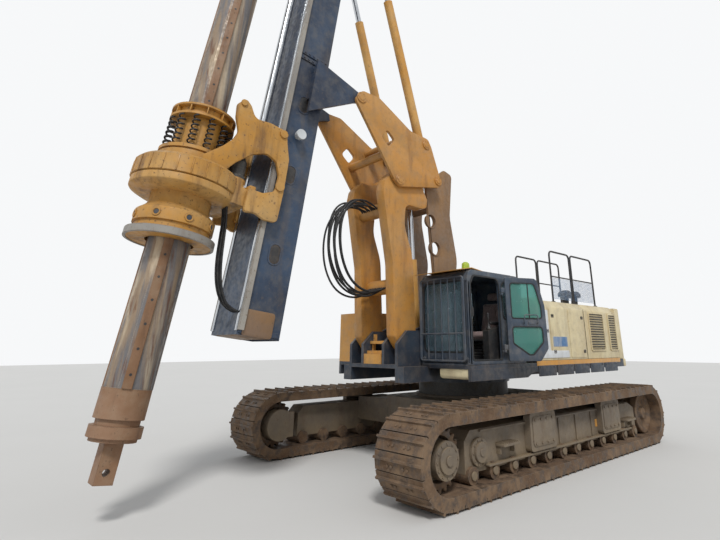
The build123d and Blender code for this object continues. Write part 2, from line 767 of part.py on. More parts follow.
# Luffing cylinders, one on each side, between the platform and the boom
luff_length = span(LUFF_FOOT, LUFF_EYE)
LUFF_BARREL = 1500
LUFF_BORE = 62
LUFF_ROD = 52
with BuildPart() as luff_barrels:
    for x in (-LUFF_X, LUFF_X):
        with BuildSketch(reach(LUFF_FOOT, LUFF_EYE, x)):
            Circle(85)
        extrude(amount=LUFF_BARREL)
        with BuildSketch(side(x - 60)):
            with Locations(LUFF_FOOT):
                Circle(105)
        extrude(amount=120)
        with BuildSketch(side(x - 100)):
            with Locations(LUFF_FOOT):
                Circle(LUFF_PIN_R + PIN_GAP)
        extrude(amount=200, mode=Mode.SUBTRACT)
        with BuildSketch(reach(LUFF_FOOT, LUFF_EYE, x).offset(200)):
            Circle(LUFF_BORE)
        extrude(amount=LUFF_BARREL - 200 - GLAND_T, mode=Mode.SUBTRACT)
        with BuildSketch(reach(LUFF_FOOT, LUFF_EYE, x).offset(200)):
            Circle(LUFF_ROD + PIN_GAP)
        extrude(amount=LUFF_BARREL, mode=Mode.SUBTRACT)

with BuildPart() as luff_rods:
    for x in (-LUFF_X, LUFF_X):
        with BuildSketch(reach(LUFF_EYE, LUFF_FOOT, x)):
            Circle(LUFF_ROD)
        extrude(amount=luff_length - 900)
        with BuildSketch(side(x - 60)):
            with Locations(LUFF_EYE):
                Circle(95)
        extrude(amount=120)

# Triangle frame between the boom, the link and the mast
with BuildPart() as triangle:
    for x in (-tri_x0 - tri_t, tri_x0):
        with BuildSketch(side(x)):
            with BuildLine():
                Polyline(
                    (MAST_PIVOT[0] - 130, MAST_PIVOT[1] - 60),
                    (MAST_PIVOT[0] + 20, MAST_PIVOT[1] + 150),
                    (MAST_PIVOT[0] + 420, MAST_PIVOT[1] + 150),
                    (TILT_EYE[0] - 420, TILT_EYE[1] + 170),
                    (TILT_EYE[0] + 60, TILT_EYE[1] + 140),
                    (TILT_EYE[0] + 150, TILT_EYE[1]),
                    (LINK_TIP[0] + 120, LINK_TIP[1] - 60),
                    (LINK_TIP[0], LINK_TIP[1] - 130),
                    (BOOM_TIP[0], BOOM_TIP[1] - 130),
                    (BOOM_TIP[0] - 130, BOOM_TIP[1] - 20),
                    close=True,
                )
            make_face()
        extrude(amount=tri_t)
    with BuildSketch(side(-tri_x0)):
        with Locations((-2480, 5180), (-2080, 5560)):
            Circle(80)
    extrude(amount=2 * tri_x0)
    for point, r in ((BOOM_TIP, 50), (MAST_PIVOT, 60)):
        with BuildSketch(side(-tri_x0 - tri_t)):
            with Locations(point):
                Circle(r + PIN_GAP)
        extrude(amount=2 * (tri_x0 + tri_t), mode=Mode.SUBTRACT)
    for x in (-tri_x0, link_x0 - 20):
        with BuildSketch(side(x)):
            with Locations(LINK_TIP):
                Circle(50)
        extrude(amount=tri_x0 - link_x0 + 20)
    for x in (-tri_x0, TILT_X - 110):
        with BuildSketch(side(x)):
            with Locations(TILT_EYE):
                Circle(TILT_PIN_R)
        extrude(amount=tri_x0 - TILT_X + 110)

# Tilt cylinders between the triangle and the back of the mast
tilt_top = mast_point(MAST_FRONT + MAST_DEPTH + 130, TILT_HEAD)
tilt_length = span(TILT_EYE, tilt_top)
TILT_BARREL = 3050
TILT_BORE = 66
TILT_ROD = 56
with BuildPart() as tilt_barrels:
    for x in (-TILT_X, TILT_X):
        with BuildSketch(reach(TILT_EYE, tilt_top, x)):
            Circle(88)
        extrude(amount=TILT_BARREL)
        with BuildSketch(side(x - 60)):
            with Locations(TILT_EYE):
                Circle(110)
        extrude(amount=120)
        with BuildSketch(side(x - 100)):
            with Locations(TILT_EYE):
                Circle(TILT_PIN_R + PIN_GAP)
        extrude(amount=200, mode=Mode.SUBTRACT)
        with BuildSketch(reach(TILT_EYE, tilt_top, x).offset(250)):
            Circle(TILT_BORE)
        extrude(amount=TILT_BARREL - 250 - GLAND_T, mode=Mode.SUBTRACT)
        with BuildSketch(reach(TILT_EYE, tilt_top, x).offset(250)):
            Circle(TILT_ROD + PIN_GAP)
        extrude(amount=TILT_BARREL, mode=Mode.SUBTRACT)

with BuildPart() as tilt_rods:
    for x in (-TILT_X, TILT_X):
        with BuildSketch(reach(tilt_top, TILT_EYE, x)):
            Circle(TILT_ROD)
        extrude(amount=tilt_length - 1900)
        with BuildSketch(side(x - 60)):
            with Locations(tilt_top):
                Circle(100)
        extrude(amount=120)

# Mast: a hollow box in two lengths bolted end to end, with guide rails on its front corners
mast_mid = MAST_FRONT + MAST_DEPTH / 2
mast_back = MAST_FRONT + MAST_DEPTH
lug_root = mast_back - 300
pivot_back, pivot_h = to_mast(*MAST_PIVOT)
with BuildPart() as mast_lower:
    with BuildSketch(mast_cross(MAST_FOOT)):
        with Locations((0, mast_mid)):
            Rectangle(MAST_W, MAST_DEPTH)
            Rectangle(MAST_W - 2 * MAST_WALL, MAST_DEPTH - 2 * MAST_WALL, mode=Mode.SUBTRACT)
    extrude(amount=MAST_JOINT - MAST_FOOT)
    for x in (-tri_x0 + 20, tri_x0 - 80):
        with BuildSketch(mast_side(x)):
            with BuildLine():
                Polyline(
                    (lug_root, pivot_h - 700),
                    (pivot_back - 60, pivot_h - 100),
                    (pivot_back + 110, pivot_h - 20),
                    (pivot_back + 60, pivot_h + 110),
                    (lug_root, pivot_h + 300),
                    close=True,
                )
            make_face()
        extrude(amount=60)
    for x in (-tri_x0 + 20, MAST_W / 2):
        with BuildSketch(mast_side(x)):
            with Locations((lug_root + 150, pivot_h - 180)):
                Rectangle(300, 500)
        extrude(amount=tri_x0 - 20 - MAST_W / 2)
    for x in (-tri_x0 - tri_t, tri_x0 - 60):
        with BuildSketch(side(x)):
            with Locations(MAST_PIVOT):
                Circle(60)
        extrude(amount=tri_t + 60)

with BuildPart() as mast_main:
    with BuildSketch(mast_cross(MAST_JOINT)):
        with Locations((0, mast_mid)):
            Rectangle(MAST_W, MAST_DEPTH)
            Rectangle(MAST_W - 2 * MAST_WALL, MAST_DEPTH - 2 * MAST_WALL, mode=Mode.SUBTRACT)
    extrude(amount=MAST_HEAD - MAST_JOINT)
    for x in (-TILT_X, TILT_X):
        for shift in (-EYE_HALF - SIDE_GAP - 40, EYE_HALF + SIDE_GAP):
            with BuildSketch(mast_side(x + shift)):
                with Locations((lug_root + 140, TILT_HEAD - 150), (lug_root + 140, TILT_HEAD + 150)):
                    Circle(130)
                with Locations((mast_back + 130, TILT_HEAD)):
                    Circle(90)
                make_hull()
            extrude(amount=40)
    with BuildSketch(mast_side(-TILT_X - EYE_HALF - SIDE_GAP - 40)):
        with Locations((lug_root + 130, TILT_HEAD)):
            Rectangle(240, 560)
    extrude(amount=2 * (TILT_X + EYE_HALF + SIDE_GAP + 40))
    with BuildSketch(mast_cross(TILT_HEAD - 400)):
        with Locations((0, mast_mid)):
            Rectangle(MAST_W - 2 * MAST_WALL, MAST_DEPTH - 2 * MAST_WALL)
    extrude(amount=800, mode=Mode.SUBTRACT)

with BuildPart() as guide_rails:
    for x in (-MAST_W / 2 - RAIL_W / 2, MAST_W / 2 + RAIL_W / 2):
        with BuildSketch(mast_cross(MAST_FOOT + 60)):
            with Locations((x, MAST_FRONT + RAIL_H / 2)):
                Rectangle(RAIL_W, RAIL_H)
        extrude(amount=MAST_HEAD - 500 - MAST_FOOT - 60)

# Mast head with its four rope sheaves
with BuildPart() as mast_head:
    for x in (-230, 190):
        with BuildSketch(mast_side(x)):
            Polygon(
                (-150, MAST_HEAD + 700),
                (100, MAST_HEAD + 300),
                (MAST_FRONT + 100, MAST_HEAD),
                (MAST_FRONT + MAST_DEPTH, MAST_HEAD),
                (MAST_FRONT + MAST_DEPTH + 300, MAST_HEAD + 500),
                (MAST_FRONT + MAST_DEPTH + 100, MAST_HEAD + 900),
                (200, MAST_HEAD + 1100),
                align=None,
            )
        extrude(amount=40)
    with BuildSketch(mast_cross(MAST_HEAD)):
        with Locations((0, mast_mid)):
            Rectangle(MAST_W + 80, MAST_DEPTH + 80)
    extrude(amount=30)
    for point in ((320, MAST_HEAD + 700), (MAST_FRONT + MAST_DEPTH, MAST_HEAD + 560)):
        with BuildSketch(mast_side(-190)):
            with Locations(point):
                Circle(40)
        extrude(amount=380)

with BuildPart() as head_sheaves:
    for point in ((320, MAST_HEAD + 700), (MAST_FRONT + MAST_DEPTH, MAST_HEAD + 560)):
        for x in (-70, 30):
            with BuildSketch(mast_side(x)):
                with Locations(point):
                    Circle(320)
                    Circle(40, mode=Mode.SUBTRACT)
            extrude(amount=40)

# Crowd cylinder: barrel on the upper mast front, rod down to the carriage
crowd_back = MAST_FRONT - 130
with BuildPart() as crowd_barrel:
    with BuildSketch(mast_cross(CROWD_FOOT)):
        with Locations((0, crowd_back)):
            Circle(95)
            Circle(72, mode=Mode.SUBTRACT)
    extrude(amount=6900)
    with BuildSketch(mast_cross(CROWD_FOOT)):
        with Locations((0, crowd_back)):
            Circle(95)
            Circle(CROWD_ROD + PIN_GAP, mode=Mode.SUBTRACT)
    extrude(amount=GLAND_T)
    for h in (CROWD_FOOT + 400, CROWD_FOOT + 6500):
        with BuildSketch(mast_cross(h)):
            with Locations((0, MAST_FRONT - 60)):
                Rectangle(260, 120)
            with Locations((0, crowd_back)):
                Circle(80, mode=Mode.SUBTRACT)
        extrude(amount=120)

plate_x = MAST_W / 2 + RAIL_W + 30

# Rotary drive: round gearbox with a body running back to the carriage, sleeve turning inside it
with BuildPart() as gearbox:
    with BuildSketch(mast_cross(DRIVE_H - GEAR_T / 2)):
        Circle(GEAR_R)
        with Locations((0, 380)):
            Rectangle(2 * plate_x - 20, 600)
        Circle(SLEEVE_R + 90 + PIN_GAP, mode=Mode.SUBTRACT)
    extrude(amount=GEAR_T)
    with BuildSketch(mast_side(-plate_x)):
        with Locations((MAST_FRONT - 330, DRIVE_H)):
            Rectangle(60, GEAR_T)
    extrude(amount=2 * plate_x)

# Carriage: plates either side of the mast with shoes behind the rails, and two arms to the gearbox
with BuildPart() as carriage:
    for x in (-plate_x - 60, plate_x):
        with BuildSketch(mast_side(x)):
            Polygon(
                (MAST_FRONT - 320, DRIVE_H - 150),
                (MAST_FRONT + 200, DRIVE_H + 150),
                (MAST_FRONT + 200, DRIVE_H + 1250),
                (MAST_FRONT - 120, DRIVE_H + 1500),
                (MAST_FRONT - 320, DRIVE_H + 1200),
                align=None,
            )
        extrude(amount=60)
        with BuildSketch(mast_side(x)):
            with BuildLine():
                Polyline(
                    (-120, DRIVE_H + GEAR_T / 2 + 40),
                    (260, DRIVE_H + 1300),
                    (440, DRIVE_H + 1330),
                    (MAST_FRONT - 250, DRIVE_H + 1000),
                    (MAST_FRONT - 250, DRIVE_H - 100),
                    (MAST_FRONT - 500, DRIVE_H - 200),
                    (100, DRIVE_H - 60),
                    close=True,
                )
            make_face()
            with Locations((MAST_FRONT - 400, DRIVE_H + 560)):
                SlotCenterToCenter(260, 240, rotation=70, mode=Mode.SUBTRACT)
        extrude(amount=60)
    for h in (DRIVE_H - 80, DRIVE_H + 900):
        with BuildSketch(mast_cross(h)):
            with Locations((0, MAST_FRONT - 260)):
                Rectangle(2 * plate_x, 100)
        extrude(amount=260)
    add(gearbox.part, mode=Mode.SUBTRACT)

with BuildPart() as crowd_rod:
    with BuildSketch(mast_cross(DRIVE_H + 1160)):
        with Locations((0, crowd_back)):
            Circle(CROWD_ROD)
    extrude(amount=CROWD_FOOT + 1300 - DRIVE_H - 1160)
    with BuildSketch(mast_cross(DRIVE_H + 1000)):
        with Locations((0, crowd_back - 15)):
            Rectangle(180, 130)
    extrude(amount=160)

with BuildPart() as drive_motors:
    for x in (-335, 335):
        with BuildSketch(mast_cross(DRIVE_H + GEAR_T / 2)):
            with Locations((x, 500)):
                Circle(130)
        extrude(amount=420)

with BuildPart() as drive_sleeve:
    with BuildSketch(mast_cross(DRIVE_H - 860)):
        Circle(520)
        Circle(SLEEVE_R, mode=Mode.SUBTRACT)
    extrude(amount=60)
    with BuildSketch(mast_cross(DRIVE_H - 800)):
        Circle(450)
        Circle(SLEEVE_R, mode=Mode.SUBTRACT)
    extrude(amount=800 - GEAR_T / 2 - 20)
    with BuildSketch(mast_cross(DRIVE_H - GEAR_T / 2 - 20)):
        Circle(SLEEVE_R + 90)
        Circle(SLEEVE_R, mode=Mode.SUBTRACT)
    extrude(amount=GEAR_T + 180)
    with BuildSketch(mast_cross(DRIVE_H + GEAR_T / 2 + 160)):
        Circle(450)
        Circle(SLEEVE_R, mode=Mode.SUBTRACT)
    extrude(amount=60)
    with BuildSketch(mast_cross(DRIVE_H + 800)):
        Circle(420)
        Circle(SLEEVE_R, mode=Mode.SUBTRACT)
    extrude(amount=180)

with BuildPart() as spring_pack:
    with PolarLocations(370, 12) as ring:
        places = ring.local_locations
    for place in places:
        with BuildSketch(mast_cross(DRIVE_H + GEAR_T / 2 + 220)):
            with Locations(place):
                Circle(40)
        extrude(amount=800 - GEAR_T / 2 - 220)

# Kelly: outer tube with drive keys, foot rings and square stub
with BuildPart() as kelly_tube:
    with BuildSketch(mast_cross(KELLY_FOOT)):
        Circle(KELLY_R)
        for turn in (90, 210, 330):
            with PolarLocations(KELLY_R, 1, start_angle=turn):
                Rectangle(40, 70)
        Circle(KELLY_R - KELLY_WALL, mode=Mode.SUBTRACT)
    extrude(amount=KELLY_TOP - KELLY_FOOT)
    with BuildSketch(mast_cross(KELLY_TOP)):
        Circle(KELLY_R + 60)
        Circle(90, mode=Mode.SUBTRACT)
    extrude(amount=60)

with BuildPart() as kelly_foot:
    for low, high, r in ((1080, 1400, 270), (1010, 1080, 235), (890, 1010, 285), (850, 890, 250)):
        with BuildSketch(mast_cross(low)):
            Circle(r)
        extrude(amount=high - low)
    with BuildSketch(mast_cross(430)):
        Rectangle(STUB_W, STUB_W)
    extrude(amount=420)
    with BuildSketch(mast_side(-STUB_W)):
        with Locations((0, 430 + STUB_PIN_UP)):
            Circle(STUB_PIN_R)
    extrude(amount=2 * STUB_W, mode=Mode.SUBTRACT)

with BuildPart() as kelly_guide:
    with BuildSketch(mast_cross(KELLY_TOP + 60 + PIN_GAP)):
        Circle(400)
        with Locations((-280, 500), (280, 500)):
            Rectangle(110, 860)
        with Locations((-390, MAST_FRONT - PIN_GAP - 45), (390, MAST_FRONT - PIN_GAP - 45)):
            Rectangle(260, 90)
        Circle(150, mode=Mode.SUBTRACT)
    extrude(amount=160)

with BuildPart() as swivel:
    with BuildSketch(mast_cross(KELLY_TOP - 200)):
        Circle(90)
    extrude(amount=1100)
    with BuildSketch(mast_cross(KELLY_TOP + 900)):
        Circle(130)
    extrude(amount=350)

pieces = {
    "track_left": track_left,
    "track_right": track_right,
    "frame_left": frame_left,
    "frame_right": frame_right,
    "sprockets": sprockets,
    "idlers": idlers,
    "bottom_rollers": bottom_rollers,
    "travel_motors": travel_motors,
    "car_body": car_body,
    "slew_ring": slew_ring,
    "platform": platform,
    "steps": steps,
    "sills": sills,
    "cab_shell": cab_shell,
    "cab_windows": cab_windows,
    "cab_guard": cab_guard,
    "cab_door": cab_door,
    "door_glass": door_glass,
    "beacon": beacon,
    "seat": seat,
    "console": console,
    "left_hood": left_hood,
    "rear_housing": rear_housing,
    "engine_block": engine_block,
    "counterweight": counterweight,
    "right_housing": right_housing,
    "railings": railings,
    "air_caps": air_caps,
    "winch_frame": winch_frame,
    "winch_drum": winch_drum,
    "boom": boom,
    "rear_link": rear_link,
    "luff_barrels": luff_barrels,
    "luff_rods": luff_rods,
    "triangle": triangle,
    "tilt_barrels": tilt_barrels,
    "tilt_rods": tilt_rods,
    "mast_lower": mast_lower,
    "mast_main": mast_main,
    "guide_rails": guide_rails,
    "mast_head": mast_head,
    "head_sheaves": head_sheaves,
    "crowd_barrel": crowd_barrel,
    "carriage": carriage,
    "crowd_rod": crowd_rod,
    "gearbox": gearbox,
    "drive_motors": drive_motors,
    "drive_sleeve": drive_sleeve,
    "spring_pack": spring_pack,
    "kelly_tube": kelly_tube,
    "kelly_foot": kelly_foot,
    "kelly_guide": kelly_guide,
    "swivel": swivel,
}
os.makedirs("parts", exist_ok=True)
for name, piece in pieces.items():
    piece.part.label = name
    export_step(piece.part, f"parts/{name}.step")
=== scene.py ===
from math import cos, pi, radians, sin, tan

import bmesh
import bpy
from mathutils import Matrix, Vector


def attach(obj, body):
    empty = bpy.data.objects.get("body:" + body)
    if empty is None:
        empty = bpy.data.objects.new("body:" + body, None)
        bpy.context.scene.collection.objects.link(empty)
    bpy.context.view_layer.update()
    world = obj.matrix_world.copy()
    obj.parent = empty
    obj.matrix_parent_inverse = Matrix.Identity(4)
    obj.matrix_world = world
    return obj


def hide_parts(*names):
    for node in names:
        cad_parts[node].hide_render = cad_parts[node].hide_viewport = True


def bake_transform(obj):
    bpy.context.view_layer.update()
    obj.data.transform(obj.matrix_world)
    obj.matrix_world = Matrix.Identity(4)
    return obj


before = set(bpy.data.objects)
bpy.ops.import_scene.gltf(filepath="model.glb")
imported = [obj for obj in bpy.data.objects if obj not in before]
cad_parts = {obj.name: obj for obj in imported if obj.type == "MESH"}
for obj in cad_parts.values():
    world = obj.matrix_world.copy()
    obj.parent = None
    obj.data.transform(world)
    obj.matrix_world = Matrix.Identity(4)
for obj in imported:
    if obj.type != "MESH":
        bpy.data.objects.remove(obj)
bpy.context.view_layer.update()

# Photograph: 720 x 540, camera standing off the left front corner at eye height
IMAGE_W = 720
SLEW_Y = 1.316
CAMERA_AT = (6.61, -8.01 + SLEW_Y, 1.85)
CAMERA_TURN = 46.55
CAMERA_UP = 17.72
CAMERA_ROLL = -0.08
FOCAL_PX = 489.0
SHIFT_PX = (37.9, -80.0)

# Tracks, in metres like every size here. Lengths along the machine are from the slew axis.
TRACK_X = 1.95
SHOE_COUNT = 72
WHEELBASE = 6.2
AXLE_Z = 0.55
PLATE_R = 0.52
LINK_R = 0.485
WHEEL_R = 0.375
FRAME_OUT = 2.13
SPROCKET_TEETH = 22
ROLLER_COUNT = 12
BEAM_CAP = 0.11
BEAM_Y = (-0.86, 1.43)

# Upper structure
DECK_TOP = 1.57
UPPER_HALF = 1.65
CAB_X = (0.62, 1.65)
CAB_Y = (-1.79, -0.25)
CAB_TOP = 3.04
POST_Y = -0.95
WALL = 0.05
DOOR_W = 0.8
DOOR_T = 0.04
DOOR_TURN = 65
DOOR_Z = (1.61, 2.97)
HINGE_Z = (DOOR_Z[0] + 0.18, DOOR_Z[1] - 0.26)
GUARD_BARS = 7
PANE_T = 0.008
HOOD_Y = (0.06, 1.99)
HOOD_Z = (1.6, 2.69)
REAR_Y = 3.48
TAIL_Y = 3.846
LOUVRES = ((2.21, 0.62), (3.11, 0.60))
SLAT_COUNT = 14
SKIRT_LOW = 1.34

# Front work group: pivots as distance from the slew axis and height
BOOM_FOOT = (-1.98, 1.95)
LINK_FOOT = (-0.95, 2.15)
BOOM_TIP = (-2.28, 4.70)
LINK_TIP = (-1.25, 4.90)
MAST_PIVOT = (-3.20, 6.00)
TILT_EYE = (-1.57, 5.57)
LUFF_EYE = (-1.56, 4.48)
LEG_X = 0.32
LEG_W = 0.21
TRI_X = 0.55
LINK_X = 0.36

# Mast, drive and kelly: distance behind the kelly axis and height along the mast
RAKE = radians(7.5)
KELLY_Y = -6.27
MAST_FRONT = 1.0
MAST_DEPTH = 0.64
MAST_HALF = 0.38
MAST_FOOT = 2.15
MAST_JOINT = 6.7
MAST_HEAD = 19.6
DRIVE_H = 3.95
GEAR_R = 0.68
GEAR_TOP = 0.235
ARM_X = 0.47
KELLY_R = 0.254
KELLY_H = (1.4, 15.4)
SLEEVE_R = 0.3
MOTOR_AT = ((-0.33, 0.52, 0), (0.33, 0.52, 0))
CASING_RIBS = 24
SPRING_COUNT = 12
SPRING_COILS = 6
POCKET_COUNT = 8
POCKET_RIM = ((0.032, -0.004), (0.055, -0.004), (0.055, 0.012, 0.004), (0.038, 0.012, 0.004), (0.032, 0.0))
KEY_TURNS = (-18, 102, 222)
HOLE_STEP = 0.28
SHEAVE_GROOVE = 0.335
REAR_SHEAVE = (1.64, 20.16)


def shift(x, y, z):
    return Matrix.Translation((x, y, z))


def spin(angle, axis="Z"):
    return Matrix.Rotation(angle, 4, axis)


def turns(count, first=0.0):
    # Evenly spaced turns about the upright axis
    return [spin(2 * pi * (k + first) / count) for k in range(count)]


# Local planes. A side plane's axes are back and up, and its thickness runs to +X.
ON_SIDE = Matrix(((0, 0, 1, 0), (1, 0, 0, 0), (0, 1, 0, 0), (0, 0, 0, 1)))
FACING = Matrix(((1, 0, 0, 0), (0, 0, -1, 0), (0, 1, 0, 0), (0, 0, 0, 1)))
MACHINE = shift(0, SLEW_Y, 0)
MAST = shift(0, SLEW_Y + KELLY_Y, 0) @ spin(-RAKE, "X")


def side(x):
    return MACHINE @ shift(x, 0, 0) @ ON_SIDE


def across(y):
    # Upright plane across the machine: x and height, with its thickness towards the front
    return MACHINE @ shift(0, y, 0) @ FACING


def deck(z):
    return MACHINE @ shift(0, 0, z)


def mast_side(x):
    return MAST @ shift(x, 0, 0) @ ON_SIDE


def near(point, *moves):
    # Outline rows given as steps from a point, each with a corner radius
    return [(point[0] + row[0], point[1] + row[1], row[2]) for row in moves]


def bend(before, here, after, r, steps):
    # Points of a rounded corner
    a = before - here
    b = after - here
    half = a.angle(b) / 2
    if r <= 0 or half > pi / 2 - 0.01:
        return [here]
    cut = min(r / tan(half), a.length * 0.48, b.length * 0.48)
    r = cut * tan(half)
    centre = here + (a.normalized() + b.normalized()).normalized() * (r / sin(half))
    start = here + a.normalized() * cut - centre
    end = here + b.normalized() * cut - centre
    turn = start.angle(end)
    points = []
    for k in range(steps + 1):
        t = k / steps
        points.append(centre + (start * sin((1 - t) * turn) + end * sin(t * turn)) / sin(turn))
    return points


def rounded(rows, steps=6):
    corners = [Vector(row[:2]) for row in rows]
    points = []
    for i, row in enumerate(rows):
        points += bend(corners[i - 1], corners[i], corners[(i + 1) % len(rows)], row[2], steps)
    return points


def bent(rows, r, steps=5):
    # An open route with every inner corner rounded
    corners = [Vector(row) for row in rows]
    points = [corners[0]]
    for before, here, after in zip(corners, corners[1:], corners[2:]):
        points += bend(before, here, after, r, steps)
    return points + [corners[-1]]


def box_rows(x0, x1, y0, y1, r=0.0):
    return [(x0, y0, r), (x1, y0, r), (x1, y1, r), (x0, y1, r)]


def ring_rows(x, y, r, count=28):
    return [(x + r * cos(2 * pi * k / count), y + r * sin(2 * pi * k / count), 0) for k in range(count)]


class Form:
    # Gathers the parts of one piece in one mesh

    def __init__(self):
        self.bm = bmesh.new()

    def take(self, mesh, place):
        mesh.transform(place)
        self.bm.from_mesh(mesh)
        bpy.data.meshes.remove(mesh)
        return self

    def plate(self, rows, place, t, holes=(), edge=0.004):
        # Flat or thick plate with rounded corners, holes and a small round on its edges
        curve = bpy.data.curves.new("outline", "CURVE")
        curve.dimensions = "2D"
        curve.fill_mode = "BOTH"
        for outline in (rows, *holes):
            points = rounded(outline)
            spline = curve.splines.new("POLY")
            spline.points.add(len(points) - 1)
            for target, point in zip(spline.points, points):
                target.co = (point[0], point[1], 0, 1)
            spline.use_cyclic_u = True
        edge = min(edge, t * 0.4)
        curve.extrude = t / 2 - edge
        curve.bevel_depth = edge
        curve.bevel_resolution = 1
        curve.offset = -edge
        holder = bpy.data.objects.new("outline", curve)
        mesh = bpy.data.meshes.new_from_object(holder)
        bpy.data.objects.remove(holder)
        bpy.data.curves.remove(curve)
        return self.take(mesh, place @ shift(0, 0, t / 2))

    def block(self, lo, hi, place=MACHINE, edge=0.006):
        corner = min(edge * 2, (hi[0] - lo[0]) / 3, (hi[1] - lo[1]) / 3)
        rows = box_rows(lo[0], hi[0], lo[1], hi[1], corner)
        return self.plate(rows, place @ shift(0, 0, lo[2]), hi[2] - lo[2], edge=edge)

    def lathe(self, rows, place, steps=48):
        # Solid of revolution about the plane's own upright axis: rows of radius and height
        mesh = bpy.data.meshes.new("turned")
        points = rounded([(row[0], row[1], row[2] if len(row) > 2 else 0) for row in rows], 4)
        verts = []
        for k in range(steps):
            turn = 2 * pi * k / steps
            verts += [(p[0] * cos(turn), p[0] * sin(turn), p[1]) for p in points]
        n = len(points)
        faces = []
        for k in range(steps):
            for i in range(n):
                a, b = k * n + i, k * n + (i + 1) % n
                c, d = (k + 1) % steps * n + (i + 1) % n, (k + 1) % steps * n + i
                faces.append((a, b, c, d))
        mesh.from_pydata(verts, [], faces)
        return self.take(mesh, place)

    def disc(self, r, t, place, steps=40, edge=0.006):
        edge = min(edge, t * 0.4)
        rows = [(0, 0), (r - edge, 0), (r, edge), (r, t - edge), (r - edge, t), (0, t)]
        return self.lathe(rows, place, steps)

    def tube(self, points, r, place=MACHINE, sides=10, closed=False):
        points = [Vector(p) for p in points]
        mesh = bpy.data.meshes.new("tube")
        verts = []
        faces = []
        across_way = None
        count = len(points)
        for i, point in enumerate(points):
            back = points[i - 1] if i or closed else point
            ahead = points[(i + 1) % count] if i < count - 1 or closed else point
            way = (ahead - back).normalized()
            if across_way is None:
                across_way = way.orthogonal().normalized()
            across_way = (across_way - way * across_way.dot(way)).normalized()
            other = way.cross(across_way)
            for k in range(sides):
                turn = 2 * pi * k / sides
                verts.append(point + r * (across_way * cos(turn) + other * sin(turn)))
        for i in range(count if closed else count - 1):
            for k in range(sides):
                a, b = i * sides + k, i * sides + (k + 1) % sides
                c, d = (i + 1) % count * sides + (k + 1) % sides, (i + 1) % count * sides + k
                faces.append((a, b, c, d))
        if not closed:
            faces.append(tuple(reversed(range(sides))))
            faces.append(tuple(range((count - 1) * sides, count * sides)))
        mesh.from_pydata(verts, [], faces)
        return self.take(mesh, place)

    def bolt(self, place, r=0.014, h=0.012):
        rows = [(0, 0), (r, 0), (r, h * 0.7), (r * 0.8, h), (0, h)]
        return self.lathe(rows, place, 6)

    def ring_of_bolts(self, place, ring, count, r=0.014, h=0.012):
        for turn in turns(count):
            self.bolt(place @ turn @ shift(ring, 0, 0), r, h)
        return self

    def save(self, name, body, slot, material, replaces=(), sharp=35):
        bm = self.bm
        bmesh.ops.remove_doubles(bm, verts=bm.verts, dist=0.00005)
        bmesh.ops.dissolve_degenerate(bm, edges=bm.edges, dist=0.00005)
        bmesh.ops.recalc_face_normals(bm, faces=bm.faces)
        for face in bm.faces:
            face.smooth = True
        for edge in bm.edges:
            if len(edge.link_faces) == 2 and edge.calc_face_angle(0) > radians(sharp):
                edge.smooth = False
        mesh = bpy.data.meshes.new(name)
        bm.to_mesh(mesh)
        bm.free()
        return dress(bpy.data.objects.new(name, mesh), body, material, replaces)


def dress(piece, body, material, replaces=()):
    bpy.context.scene.collection.objects.link(piece)
    piece.data.materials.append(material)
    if body:
        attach(piece, body)
    if replaces:
        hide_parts(*replaces)
    return piece


def colour(text):
    # Hex colour as the linear values that the nodes take
    parts = [int(text[i:i + 2], 16) / 255 for i in (1, 3, 5)]
    return (*[p / 12.92 if p <= 0.04045 else ((p + 0.055) / 1.055) ** 2.4 for p in parts], 1)


